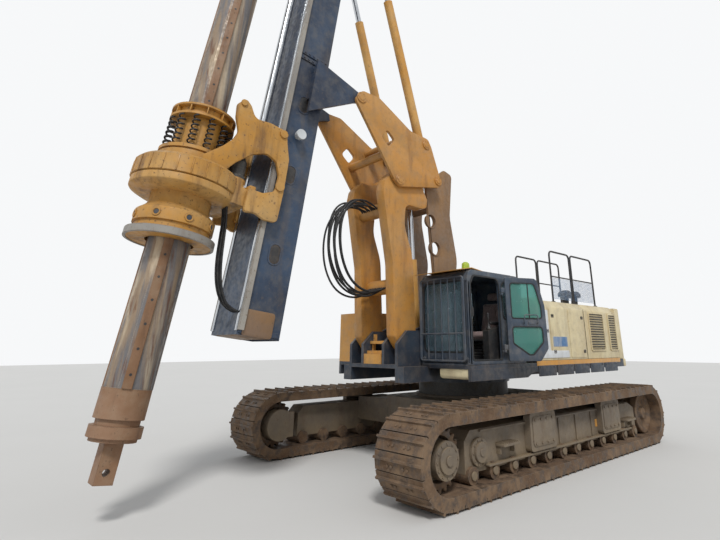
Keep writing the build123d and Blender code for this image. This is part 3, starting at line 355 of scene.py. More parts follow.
class Finish:
    # Node graph of one material

    def __init__(self, name):
        self.material = bpy.data.materials.new(name)
        self.material.use_nodes = True
        self.nodes = self.material.node_tree.nodes
        self.links = self.material.node_tree.links
        self.shader = self.nodes["Principled BSDF"]
        self.spot = self.nodes.new("ShaderNodeTexCoord").outputs["Object"]

    def noise(self, scale, detail=5, stretch=(1, 1, 1), rough=0.6):
        fit = self.nodes.new("ShaderNodeMapping")
        fit.inputs["Scale"].default_value = stretch
        self.links.new(self.spot, fit.inputs["Vector"])
        noise = self.nodes.new("ShaderNodeTexNoise")
        noise.inputs["Scale"].default_value = scale
        noise.inputs["Detail"].default_value = detail
        noise.inputs["Roughness"].default_value = rough
        self.links.new(fit.outputs[0], noise.inputs["Vector"])
        return noise.outputs[0]

    def ramp(self, value, low, high, out_low=0.0, out_high=1.0):
        span = self.nodes.new("ShaderNodeMapRange")
        span.interpolation_type = "SMOOTHSTEP"
        self.links.new(value, span.inputs[0])
        for socket, number in zip((1, 2, 3, 4), (low, high, out_low, out_high)):
            span.inputs[socket].default_value = number
        return span.outputs[0]

    def math(self, kind, a, b):
        node = self.nodes.new("ShaderNodeMath")
        node.operation = kind
        for socket, value in zip(node.inputs, (a, b)):
            if isinstance(value, (int, float)):
                socket.default_value = value
            else:
                self.links.new(value, socket)
        return node.outputs[0]

    def mix(self, share, a, b):
        node = self.nodes.new("ShaderNodeMix")
        node.data_type = "RGBA"
        for socket, value in ((node.inputs[0], share), (node.inputs[6], a), (node.inputs[7], b)):
            if isinstance(value, (int, float)):
                socket.default_value = value
            elif isinstance(value, str):
                socket.default_value = colour(value)
            else:
                self.links.new(value, socket)
        return node.outputs[2]

    def edges(self, reach=0.012):
        # Strong where the surface turns sharply
        soft = self.nodes.new("ShaderNodeBevel")
        soft.samples = 4
        soft.inputs["Radius"].default_value = reach
        shape = self.nodes.new("ShaderNodeNewGeometry")
        dot = self.nodes.new("ShaderNodeVectorMath")
        dot.operation = "DOT_PRODUCT"
        self.links.new(soft.outputs[0], dot.inputs[0])
        self.links.new(shape.outputs["Normal"], dot.inputs[1])
        return self.ramp(dot.outputs["Value"], 0.97, 0.84)

    def facing_up(self):
        shape = self.nodes.new("ShaderNodeNewGeometry")
        apart = self.nodes.new("ShaderNodeSeparateXYZ")
        self.links.new(shape.outputs["Normal"], apart.inputs[0])
        return self.ramp(apart.outputs[2], 0.35, 0.95)

    def height(self, low, high):
        apart = self.nodes.new("ShaderNodeSeparateXYZ")
        self.links.new(self.spot, apart.inputs[0])
        return self.ramp(apart.outputs[2], low, high)

    def done(self, base, rough, bump=None, depth=0.002, metal=0.0, gloss=0.5):
        self.links.new(base, self.shader.inputs["Base Color"])
        if isinstance(rough, (int, float)):
            self.shader.inputs["Roughness"].default_value = rough
        else:
            self.links.new(rough, self.shader.inputs["Roughness"])
        self.shader.inputs["Metallic"].default_value = metal
        self.shader.inputs["Specular IOR Level"].default_value = gloss
        if bump is not None:
            node = self.nodes.new("ShaderNodeBump")
            node.inputs["Distance"].default_value = depth
            node.inputs["Strength"].default_value = 0.5
            self.links.new(bump, node.inputs["Height"])
            self.links.new(node.outputs[0], self.shader.inputs["Normal"])
        return self.material


def painted(name, fresh, faded, under, dirt, wear=0.5, dust=0.5, rough=0.5, mud_below=None, runs=0.4):
    # Weathered paint: uneven fading, scratches and bare edges, runs of rust, dust on top and mud below
    f = Finish(name)
    base = f.mix(f.ramp(f.noise(0.9, 6), 0.35, 0.68), fresh, faded)
    base = f.mix(f.ramp(f.noise(6.0, 6), 0.4, 0.75, 0.0, 0.35), base, dirt)
    streak = f.math("MULTIPLY", f.ramp(f.noise(5.0, 6, (1, 1, 0.16)), 0.5, 0.72), runs)
    base = f.mix(streak, base, under)
    chips = f.math("MULTIPLY", f.ramp(f.noise(24.0, 8), 0.6, 0.68), wear)
    base = f.mix(chips, base, under)
    worn = f.math("MULTIPLY", f.edges(), f.ramp(f.noise(9.0, 4), 0.32, 0.6))
    base = f.mix(f.math("MULTIPLY", worn, min(1.0, wear + 0.35)), base, under)
    top = f.math("MULTIPLY", f.facing_up(), f.ramp(f.noise(3.0, 6), 0.3, 0.7, dust * 0.5, dust))
    base = f.mix(top, base, dirt)
    if mud_below is not None:
        low = f.height(mud_below + 0.5, mud_below - 0.4)
        low = f.math("MULTIPLY", low, f.ramp(f.noise(4.0, 6), 0.25, 0.62))
        base = f.mix(low, base, dirt)
    matt = f.ramp(f.noise(14.0, 5), 0.3, 0.75, rough - 0.1, rough + 0.22)
    return f.done(base, matt, f.noise(60.0, 6), 0.0012)


def earthy(name, steel, mud, dry, share=0.6, depth=0.006):
    # Steel caked with mud, lighter where it has dried
    f = Finish(name)
    cover = f.ramp(f.noise(7.0, 8), 0.62 - share * 0.35, 0.72 - share * 0.2)
    base = f.mix(f.ramp(f.noise(2.2, 6), 0.35, 0.65), mud, dry)
    base = f.mix(cover, steel, base)
    base = f.mix(f.ramp(f.noise(38.0, 6), 0.45, 0.7, 0.0, 0.5), base, dry)
    base = f.mix(f.math("MULTIPLY", f.edges(0.008), 0.45), base, "#8E8579")
    lumps = f.math("ADD", f.noise(30.0, 8), f.math("MULTIPLY", f.noise(9.0, 6), 1.5))
    return f.done(base, f.ramp(cover, 0, 1, 0.5, 0.92), lumps, depth)


def bare(name, light, dark, rough=0.3, metal=0.9, grain=(1, 1, 0.05), rust="#6B4A33", rusty=0.2):
    # Drawn or worn steel with grain along its length
    f = Finish(name)
    base = f.mix(f.ramp(f.noise(18.0, 6, grain), 0.3, 0.7), light, dark)
    base = f.mix(f.math("MULTIPLY", f.ramp(f.noise(5.0, 7), 0.5, 0.68), rusty), base, rust)
    matt = f.ramp(f.noise(25.0, 5, grain), 0.3, 0.7, rough - 0.08, rough + 0.15)
    return f.done(base, matt, f.noise(50.0, 5, grain), 0.0006, metal)


def kelly_finish(name):
    # Rubbed grey steel with long streaks of clay, rust and grease
    f = Finish(name)
    long_way = (1, 1, 0.03)
    base = f.mix(f.ramp(f.noise(9.0, 7, long_way), 0.4, 0.6), "#94806A", "#716E6E")
    base = f.mix(f.ramp(f.noise(5.0, 6, (1, 1, 0.08)), 0.5, 0.66, 0.0, 0.75), base, "#C9B79C")
    base = f.mix(f.ramp(f.noise(14.0, 8, (1, 1, 0.1)), 0.54, 0.68, 0.0, 0.8), base, "#6B452C")
    base = f.mix(f.math("MULTIPLY", f.edges(0.01), 0.6), base, "#C6BBAA")
    return f.done(base, f.ramp(f.noise(20.0, 6), 0.3, 0.7, 0.42, 0.75), f.noise(45.0, 6), 0.0015, 0.25)


def glazing(name, tint, dusty, clear=0.75):
    # Tinted glass with a film of dust and wiped streaks
    f = Finish(name)
    film = f.ramp(f.noise(3.5, 7, (1, 1, 0.4)), 0.35, 0.8, 0.1, 0.6)
    base = f.mix(film, tint, dusty)
    f.shader.inputs["Transmission Weight"].default_value = clear
    f.shader.inputs["IOR"].default_value = 1.3
    return f.done(base, f.ramp(f.noise(8.0, 6), 0.35, 0.75, 0.06, 0.3), f.noise(2.0, 3), 0.002)


def woven(name, thread, gap, soil):
    # Cloth with a fine weave, pills and darker soiled patches
    f = Finish(name)
    weave = f.math("MULTIPLY", f.noise(260.0, 2, (1, 0.2, 1)), f.noise(260.0, 2, (0.2, 1, 1)))
    base = f.mix(f.ramp(weave, 0.16, 0.34), gap, thread)
    base = f.mix(f.ramp(f.noise(7.0, 6), 0.45, 0.75, 0.0, 0.6), base, soil)
    f.shader.inputs["Sheen Weight"].default_value = 0.35
    return f.done(base, 0.9, f.math("ADD", weave, f.noise(40.0, 5)), 0.0015)


def rubber(name, black, dusty, share=0.35):
    f = Finish(name)
    base = f.mix(f.ramp(f.noise(10.0, 6), 0.42, 0.7, 0.0, share), black, dusty)
    return f.done(base, f.ramp(f.noise(30.0, 4), 0.3, 0.7, 0.45, 0.75), f.noise(120.0, 4), 0.0006)


def lens(name, deep, bright):
    f = Finish(name)
    base = f.mix(f.ramp(f.noise(30.0, 4, (1, 1, 6)), 0.35, 0.65), deep, bright)
    f.shader.inputs["Transmission Weight"].default_value = 0.3
    return f.done(base, 0.22, f.noise(90.0, 3, (1, 1, 8)), 0.001)


yellow = painted("yellow_paint", "#C58A36", "#D3A460", "#76502F", "#8E7B62", 0.5, 0.55)
boom_yellow = painted("boom_paint", "#C28637", "#BA8B4F", "#6F4B2E", "#83705A", 0.3, 0.35, 0.45, runs=0.45)
# Darker brown copy of the yellow paint: painted shade for the yellow link plates and the mast foot block
shaded_yellow = painted("shaded_yellow_paint", "#8E6A42", "#7A6350", "#5D4634", "#6E6256", 0.4, 0.5)
drive_yellow = painted("drive_paint", "#B8822F", "#C49A5C", "#5E4028", "#8A7658", 0.8, 0.55, runs=0.7)
hood_yellow = painted("hood_paint", "#CF9443", "#D6A25A", "#8B6339", "#A08C70", 0.15, 0.4, 0.4, runs=0.15)
cream = painted("cream_paint", "#DDCFA8", "#CDBB93", "#8A6C48", "#A29680", 0.25, 0.4, 0.5, runs=0.3)
white = painted("white_paint", "#D9DCDD", "#C6CACC", "#8C8880", "#A9A498", 0.15, 0.2, 0.45, runs=0.15)
dark = painted("dark_paint", "#2A303B", "#3A4552", "#6B5A49", "#6F675E", 0.3, 0.5, 0.45, runs=0.25)
cab_grey = painted("cab_paint", "#2E3947", "#414D5B", "#77716A", "#827B72", 0.25, 0.6, 0.42, runs=0.2)
navy = painted("mast_paint", "#1F2A3D", "#34475F", "#5A4E42", "#6F6A62", 0.45, 0.3, 0.42, runs=0.35)
grey_frame = painted("frame_paint", "#5F564C", "#776B5C", "#4E3A2B", "#857359", 0.5, 0.7, 0.65, mud_below=0.35)
plate_blue = painted("plate_blue", "#3F6C9B", "#6C93BA", "#C8CCD0", "#9A968C", 0.2, 0.2)
mud_steel = earthy("mud_steel", "#4A3D33", "#5D4632", "#7E6750", 0.75)
iron = earthy("engine_iron", "#33322F", "#47413A", "#5D564C", 0.3, 0.002)
black_steel = painted("black_steel", "#1D1E20", "#2A2B2E", "#55463A", "#5C564E", 0.35, 0.4, 0.5, runs=0.2)
flange_grey = painted("flange_grey", "#8A8680", "#A39D93", "#6A5340", "#8A7D6C", 0.5, 0.4, 0.5)
chrome = bare("bright_steel", "#D2D4D6", "#A9ADB2", 0.16, 1.0, rusty=0.05)
rope_steel = bare("rope_steel", "#7C7A76", "#4A4846", 0.4, 0.7, (1, 1, 6), rusty=0.3)
kelly_steel = kelly_finish("kelly_steel")
key_rust = painted("key_rust", "#7E5B3E", "#93735A", "#4E3525", "#A08B72", 0.5, 0.2, 0.6, runs=0.6)
glass = glazing("window_glass", "#8FAAB6", "#8D9AA0")
teal_glass = glazing("door_glass", "#5FA79B", "#8FA9A2", 0.55)
cloth = woven("seat_fabric", "#A88E88", "#6B5854", "#574C48")
hose_black = rubber("hose_rubber", "#17181A", "#4E4A45")
seal = rubber("seal_rubber", "#1B1C1E", "#3E3B38")
amber = lens("beacon_lens", "#9FB92E", "#D3EA58")

NODE_FINISH = {
    "track_left": mud_steel, "track_right": mud_steel, "sprockets": mud_steel, "idlers": mud_steel,
    "bottom_rollers": mud_steel, "travel_motors": grey_frame, "frame_left": grey_frame,
    "frame_right": grey_frame, "car_body": grey_frame, "slew_ring": iron, "platform": dark, "steps": yellow,
    "sills": dark, "cab_shell": cab_grey, "cab_windows": glass, "cab_guard": cab_grey, "cab_door": cab_grey,
    "door_glass": teal_glass, "beacon": amber, "seat": cloth, "console": black_steel, "left_hood": cream,
    "rear_housing": cream, "engine_block": iron, "counterweight": cream, "right_housing": hood_yellow,
    "railings": black_steel, "air_caps": black_steel, "winch_frame": dark, "winch_drum": black_steel,
    "boom": boom_yellow, "rear_link": shaded_yellow, "luff_barrels": yellow, "luff_rods": chrome,
    "triangle": boom_yellow, "tilt_barrels": yellow, "tilt_rods": chrome, "mast_lower": navy, "mast_main": navy,
    "guide_rails": flange_grey, "mast_head": navy, "head_sheaves": black_steel, "crowd_barrel": navy,
    "crowd_rod": chrome, "gearbox": drive_yellow, "carriage": drive_yellow, "drive_motors": black_steel,
    "drive_sleeve": drive_yellow, "spring_pack": black_steel, "kelly_tube": kelly_steel,
    "kelly_foot": key_rust, "kelly_guide": yellow, "swivel": black_steel,
}


def dress_nodes():
    for name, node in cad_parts.items():
        node.data.materials.clear()
        node.data.materials.append(NODE_FINISH[name])


def add_camera():
    data = bpy.data.cameras.new("camera")
    data.sensor_fit = "HORIZONTAL"
    data.sensor_width = 36.0
    data.lens = FOCAL_PX / IMAGE_W * 36.0
    data.shift_x = -SHIFT_PX[0] / IMAGE_W
    data.shift_y = SHIFT_PX[1] / IMAGE_W
    data.clip_end = 200.0
    camera = bpy.data.objects.new("camera", data)
    turn = spin(radians(CAMERA_TURN))
    tip = spin(radians(90 + CAMERA_UP), "X")
    roll = spin(radians(CAMERA_ROLL))
    camera.matrix_world = shift(*CAMERA_AT) @ turn @ tip @ roll
    bpy.context.scene.collection.objects.link(camera)
    bpy.context.scene.camera = camera


def add_stage():
    # Soft overcast light, a plain pale floor, and a white backdrop for the camera, reflections and glass
    scene = bpy.context.scene
    scene.view_settings.view_transform = "Standard"
    world = bpy.data.worlds.new("studio")
    scene.world = world
    world.use_nodes = True
    nodes = world.node_tree.nodes
    links = world.node_tree.links
    nodes.clear()
    out = nodes.new("ShaderNodeOutputWorld")
    mix = nodes.new("ShaderNodeMixShader")
    soft = nodes.new("ShaderNodeBackground")
    seen = nodes.new("ShaderNodeBackground")
    path = nodes.new("ShaderNodeLightPath")
    soft.inputs["Color"].default_value = (0.86, 0.9, 0.95, 1)
    soft.inputs["Strength"].default_value = 0.62
    seen.inputs["Color"].default_value = (0.93, 0.94, 0.95, 1)
    seen.inputs["Strength"].default_value = 1.0
    share = path.outputs["Is Camera Ray"]
    for ray in ("Is Glossy Ray", "Is Transmission Ray"):
        either = nodes.new("ShaderNodeMath")
        either.operation = "MAXIMUM"
        links.new(share, either.inputs[0])
        links.new(path.outputs[ray], either.inputs[1])
        share = either.outputs[0]
    links.new(share, mix.inputs[0])
    links.new(soft.outputs[0], mix.inputs[1])
    links.new(seen.outputs[0], mix.inputs[2])
    links.new(mix.outputs[0], out.inputs[0])
    sun = bpy.data.lights.new("sun", "SUN")
    sun.energy = 1.9
    sun.angle = radians(12)
    sun_at = bpy.data.objects.new("sun", sun)
    sun_at.rotation_euler = (radians(38), radians(18), radians(30))
    scene.collection.objects.link(sun_at)
    size = 60.0
    mesh = bpy.data.meshes.new("floor")
    corners = [(-size, -size, 0), (size, -size, 0), (size, size, 0), (-size, size, 0)]
    mesh.from_pydata(corners, [], [(0, 1, 2, 3)])
    floor = bpy.data.objects.new("floor", mesh)
    scene.collection.objects.link(floor)
    f = Finish("floor")
    mesh.materials.append(f.done(f.mix(f.noise(0.3), "#CDCBC7", "#D3D1CD"), 0.9))


def add_hose(name, rows, r, body):
    # One hose as a smooth line through its route, from fitting to fitting
    curve = bpy.data.curves.new(name, "CURVE")
    curve.dimensions = "3D"
    spline = curve.splines.new("NURBS")
    spline.points.add(len(rows) - 1)
    for target, row in zip(spline.points, rows):
        target.co = (*row, 1)
    spline.order_u = 3
    spline.use_endpoint_u = True
    curve.bevel_depth = r
    curve.bevel_resolution = 3
    curve.use_fill_caps = True
    curve.resolution_u = 8
    piece = dress(bpy.data.objects.new(name, curve), body, hose_black)


# Routes of the hoses as distance from the slew axis and height, and behind the kelly axis and up the mast
BUNDLE_ROUTE = (
    (-2.45, 4.20), (-2.60, 4.32), (-2.86, 4.34), (-3.06, 4.20), (-3.17, 3.95), (-3.19, 3.60), (-3.12, 3.25),
    (-2.96, 2.95), (-2.72, 2.78), (-2.45, 2.74), (-2.235, 2.82),
)
DRIVE_ROUTE = (
    (0.50, 3.77), (0.54, 3.60), (0.57, 3.33), (0.60, 3.05), (0.65, 2.80), (0.73, 2.60), (0.84, 2.47),
    (0.985, 2.44),
)
HOSE_R = 0.017
DRIVE_HOSE_R = 0.014
BOOM_HOSES = 9
DRIVE_HOSES = 5


def add_hoses():
    for k in range(BOOM_HOSES):
        x = -0.2 + 0.05 * k
        drop = 0.06 * (k * 2 % 5)
        rows = []
        for i, (y, z) in enumerate(BUNDLE_ROUTE):
            sway = sin(pi * i / (len(BUNDLE_ROUTE) - 1))
            aside = 0.03 * sway * (1 if k % 2 else -1)
            rows.append((x + aside, SLEW_Y + y - drop * sway * 0.7, z - drop * sway))
        add_hose("boom_hose_%d" % (k + 1), rows, HOSE_R, "boom_body")
    for k in range(DRIVE_HOSES):
        x = 0.2 + 0.032 * k
        out = 0.03 * (k % 2)
        rows = []
        for i, (back, h) in enumerate(DRIVE_ROUTE):
            sway = sin(pi * i / (len(DRIVE_ROUTE) - 1))
            rows.append(tuple(MAST @ Vector((x, back - out * sway, h))))
        add_hose("drive_hose_%d" % (k + 1), rows, DRIVE_HOSE_R, "carriage_body")


def add_tracks():
    pitch = (2 * WHEELBASE + 2 * pi * LINK_R) / SHOE_COUNT
    bolts = Form()
    for k in range(SHOE_COUNT):
        s = (k + 0.68) * pitch
        if s < WHEELBASE:
            at, turn = (-WHEELBASE / 2 + s, AXLE_Z - PLATE_R), pi
        elif s < WHEELBASE + pi * LINK_R:
            a = (s - WHEELBASE) / LINK_R
            at, turn = (WHEELBASE / 2 + PLATE_R * sin(a), AXLE_Z - PLATE_R * cos(a)), pi - a
        elif s < 2 * WHEELBASE + pi * LINK_R:
            at, turn = (1.5 * WHEELBASE - s + pi * LINK_R, AXLE_Z + PLATE_R), 0
        else:
            a = (s - 2 * WHEELBASE - pi * LINK_R) / LINK_R
            at, turn = (-WHEELBASE / 2 - PLATE_R * sin(a), AXLE_Z + PLATE_R * cos(a)), -a
        for x in (-TRACK_X, TRACK_X):
            for off in (-0.17, -0.1, 0.1, 0.17):
                spot = shift(x + off, at[0], at[1])
                bolts.bolt(MACHINE @ spot @ spin(-turn, "X"), 0.019, 0.013)
    bolts.save("shoe_bolts", "undercarriage", "track_steel", mud_steel)

    outline = []
    for k in range(SPROCKET_TEETH * 2):
        turn = pi * k / SPROCKET_TEETH
        r = WHEEL_R - (0.002 if k % 2 else 0.05)
        for part in (-0.045, 0.045):
            outline.append((-WHEELBASE / 2 + r * cos(turn + part), AXLE_Z + r * sin(turn + part), 0.008))
    wheels = Form()
    hub = ring_rows(-WHEELBASE / 2, AXLE_Z, 0.26)
    for x in (-TRACK_X, TRACK_X):
        for off in (-0.2, 0.08):
            wheels.plate(outline, side(x + off), 0.12, (hub,), 0.01)
    wheels.save("sprocket_rings", "undercarriage", "track_steel", mud_steel, ("sprockets",))
    wheels = Form()
    rim = [(0, -0.2), (0.1, -0.2, 0.02), (0.13, -0.15, 0.02), (0.26, -0.14, 0.03), (0.32, -0.195, 0.02),
           (WHEEL_R, -0.2, 0.02), (WHEEL_R, -0.08, 0.01), (0.33, -0.05, 0.02), (0.33, 0.05, 0.02),
           (WHEEL_R, 0.08, 0.01), (WHEEL_R, 0.2, 0.02), (0.32, 0.195, 0.02), (0.26, 0.14, 0.03),
           (0.13, 0.15, 0.02), (0.1, 0.2, 0.02), (0, 0.2)]
    for x in (-TRACK_X, TRACK_X):
        wheels.lathe(rim, side(x) @ shift(WHEELBASE / 2, AXLE_Z, 0), 56)
    wheels.save("idler_wheels", "undercarriage", "track_steel", mud_steel, ("idlers",))


def out_of(sign, x):
    # Side plane facing outwards on either side of the machine
    return shift(0, SLEW_Y, 0) @ Matrix.Scale(sign, 4, (1, 0, 0)) @ shift(x, 0, 0) @ ON_SIDE


def add_frame_trim():
    trim = Form()
    for sign in (-1, 1):
        face = out_of(sign, FRAME_OUT)
        trim.plate(box_rows(-2.2, 2.3, 0.345, 0.372, 0.01), face, 0.085)
        trim.plate(box_rows(-2.3, 2.35, 0.762, 0.79, 0.01), face, 0.03)
        cover = face @ shift(-2.33, 0.53, 0)
        trim.disc(0.175, 0.045, cover).disc(0.125, 0.08, cover).disc(0.05, 0.095, cover, 24)
        trim.ring_of_bolts(cover @ shift(0, 0, 0.045), 0.15, 10)
        for y, z in ((-1.75, 0.55), (2.2, 0.5)):
            trim.plate(box_rows(y - 0.19, y + 0.19, z, z + 0.035, 0.008), face, 0.15)
            for k in range(9):
                at = y - 0.18 + 0.04 * k
                trim.plate(box_rows(at, at + 0.015, z + 0.03, z + 0.05), face, 0.15, edge=0.002)
            for end in (-0.17, 0.15):
                trim.plate(box_rows(y + end, y + end + 0.02, z - 0.1, z + 0.01), face, 0.07, edge=0.003)
        for y in BEAM_Y:
            cap = out_of(sign, FRAME_OUT + BEAM_CAP)
            trim.plate(box_rows(y - 0.3, y + 0.3, 0.45, 0.85, 0.06), cap, 0.012)
            for by in (y - 0.24, y - 0.08, y + 0.08, y + 0.24):
                for bz in (0.49, 0.81):
                    trim.bolt(cap @ shift(by, bz, 0.012), 0.02, 0.016)
        for y in (-0.25, 0.3, 0.85):
            trim.plate(box_rows(y - 0.012, y + 0.012, 0.38, 0.755, 0.004), face, 0.02)
        motor = out_of(sign, TRACK_X + 0.33) @ shift(-WHEELBASE / 2, AXLE_Z, 0)
        trim.disc(0.15, 0.03, motor).disc(0.06, 0.05, motor, 28)
        trim.ring_of_bolts(motor, 0.185, 12, 0.016)
        pitch = (WHEELBASE - 2 * WHEEL_R) / ROLLER_COUNT
        for k in range(ROLLER_COUNT):
            y = -WHEELBASE / 2 + WHEEL_R + (k + 0.5) * pitch
            end = out_of(sign, TRACK_X + 0.23) @ shift(y, AXLE_Z - WHEEL_R + 0.105, 0)
            trim.disc(0.055, 0.025, end, 20)
    trim.save("frame_trim", "undercarriage", "frame_paint", grey_frame)
    tag = Form().plate(box_rows(1.0, 1.16, 0.5, 0.62, 0.012), out_of(1, FRAME_OUT), 0.006)
    tag.save("frame_tag", "undercarriage", "yellow_paint", yellow)


CAB_OUTLINE = (
    (CAB_Y[0], DECK_TOP, 0.03), (CAB_Y[1], DECK_TOP, 0.04), (CAB_Y[1], CAB_TOP, 0.17),
    (CAB_Y[0] + 0.06, CAB_TOP, 0.15), (CAB_Y[0], CAB_TOP - 0.16, 0.08),
)
DOORWAY = (
    (CAB_Y[0] + 0.07, DECK_TOP + 0.07, 0.04), (POST_Y, DECK_TOP + 0.07, 0.04), (POST_Y, CAB_TOP - 0.09, 0.12),
    (CAB_Y[0] + 0.15, CAB_TOP - 0.09, 0.08), (CAB_Y[0] + 0.07, CAB_TOP - 0.22, 0.06),
)
REAR_WINDOW = box_rows(POST_Y + 0.08, CAB_Y[1] - 0.09, 2.28, 2.9, 0.08)
INNER_WINDOW = box_rows(-1.66, -0.38, 2.17, 2.89, 0.09)
SCREEN = box_rows(CAB_X[0] + 0.075, CAB_X[1] - 0.075, 1.76, 2.86, 0.09)


def wider(rows, by):
    # The same outline grown by a margin about its own middle
    mid = Vector((sum(r[0] for r in rows) / len(rows), sum(r[1] for r in rows) / len(rows)))
    grown = []
    for x, y, r in rows:
        grown.append((x + (by if x > mid.x else -by), y + (by if y > mid.y else -by), r + by / 2))
    return grown


def add_cab():
    x0, x1 = CAB_X
    shell = Form()
    shell.plate(CAB_OUTLINE, side(x1 - WALL), WALL, (DOORWAY, REAR_WINDOW), 0.012)
    shell.plate(CAB_OUTLINE, side(x0), WALL, (INNER_WINDOW,), 0.012)
    loop = [(CAB_Y[0], DECK_TOP, 0), (CAB_Y[1], DECK_TOP, 0.04), (CAB_Y[1], CAB_TOP, 0.17),
            (CAB_Y[0] + 0.06, CAB_TOP, 0.15), (CAB_Y[0], CAB_TOP - 0.16, 0.03),
            (CAB_Y[0] + 0.05, CAB_TOP - 0.18, 0.03), (CAB_Y[0] + 0.1, CAB_TOP - WALL, 0.1),
            (CAB_Y[1] - WALL, CAB_TOP - WALL, 0.12), (CAB_Y[1] - WALL, DECK_TOP + WALL, 0),
            (CAB_Y[0], DECK_TOP + WALL, 0)]
    shell.plate(loop, side(x0 + WALL), x1 - x0 - 2 * WALL)
    brow = CAB_TOP - 0.15
    front = [(x0, DECK_TOP, 0.02), (x1, DECK_TOP, 0.02), (x1, brow, 0.05), (x0, brow, 0.05)]
    shell.plate(front, across(CAB_Y[0] + WALL), WALL, (SCREEN,), 0.01)
    for z in HINGE_Z:
        knuckle = MACHINE @ shift(UPPER_HALF + DOOR_T + 0.015, POST_Y + 0.01, z - 0.0403)
        shell.disc(0.024, 0.04, knuckle, 20)
        shell.disc(0.009, 0.13, knuckle, 14)
        shell.block((UPPER_HALF, POST_Y - 0.005, z - 0.04),
                    (UPPER_HALF + 0.04, POST_Y + 0.025, z - 0.0005))
    shell.plate(box_rows(-0.2, 0.2, 0, 0.012), deck(CAB_TOP) @ shift(1.1, -0.9, 0), 0.02)
    for x in (x0 + 0.14, x1 - 0.14):
        shell.plate([(-1.35, CAB_TOP, 0), (-0.35, CAB_TOP, 0), (-0.4, CAB_TOP + 0.03, 0.01),
                     (-1.3, CAB_TOP + 0.03, 0.01)], side(x - 0.02), 0.04)
    shell.save("cab_body", "upper", "dark_paint", cab_grey, ("cab_shell",))

    panes = Form()
    for rows, plane in ((SCREEN, across(CAB_Y[0] + 0.035)), (REAR_WINDOW, side(x1 - 0.035)),
                        (INNER_WINDOW, side(x0 + 0.027))):
        panes.plate(wider(rows, 0.015), plane, PANE_T, edge=0.002)
    panes.save("cab_panes", "upper", "window_glass", glass, ("cab_windows",))
    seals = Form()
    for rows, plane in ((SCREEN, across(CAB_Y[0] + 0.005)), (REAR_WINDOW, side(x1 - 0.004)),
                        (INNER_WINDOW, side(x0 - 0.006)), (DOORWAY, side(x1 - 0.004))):
        seals.plate(wider(rows, 0.012), plane, 0.01, (wider(rows, -0.014),), 0.003)
    seals.save("cab_seals", "upper", "dark_paint", seal)

    guard = Form()
    y = CAB_Y[0] - 0.06
    for k in range(GUARD_BARS):
        x = x0 + 0.07 + k * (x1 - x0 - 0.14) / (GUARD_BARS - 1)
        guard.tube([(x, y, 1.64), (x, y, 2.91)], 0.011)
    left, right = x0 + 0.045, x1 - 0.045
    rim = [(left, y, 2.0), (left, y, 2.92), (right, y, 2.92), (right, y, 1.63), (left, y, 1.63), (left, y, 2.0)]
    guard.tube(bent(rim, 0.05), 0.016)
    guard.tube([(left, y, 2.04), (right, y, 2.04)], 0.015)
    for x in (x0 + 0.06, x1 - 0.06):
        for z in (1.66, 2.86):
            guard.tube([(x, y, z), (x, CAB_Y[0], z)], 0.012)
            guard.disc(0.03, 0.008, across(CAB_Y[0]) @ shift(x, z, 0), 16)
    guard.save("cab_bars", "upper", "dark_paint", cab_grey, ("cab_guard",))

    visor = [(-1.30, 3.045, 0), (-1.62, 3.082, 0.1), (-1.96, 3.02, 0), (-1.955, 3.008, 0), (-1.62, 3.068, 0.1),
             (-1.30, 3.031, 0)]
    hood = Form().plate(visor, side(x0 + 0.03), x1 - x0 - 0.06, edge=0.003)
    hood.save("cab_visor", "upper", "yellow_paint", yellow)

    light = Form()
    spot = MACHINE @ shift(UPPER_HALF - 0.18, CAB_Y[0] + 0.2, CAB_TOP)
    light.lathe([(0, 0.028), (0.068, 0.028, 0.004), (0.062, 0.12, 0.03), (0.03, 0.148, 0.03), (0, 0.148)], spot)
    light.save("beacon_dome", "upper", "beacon_lens", amber, ("beacon",))
    base = Form().lathe([(0, 0), (0.075, 0), (0.075, 0.02, 0.004), (0.07, 0.03, 0.004), (0, 0.03)], spot)
    base.save("beacon_base", "upper", "dark_paint", dark)


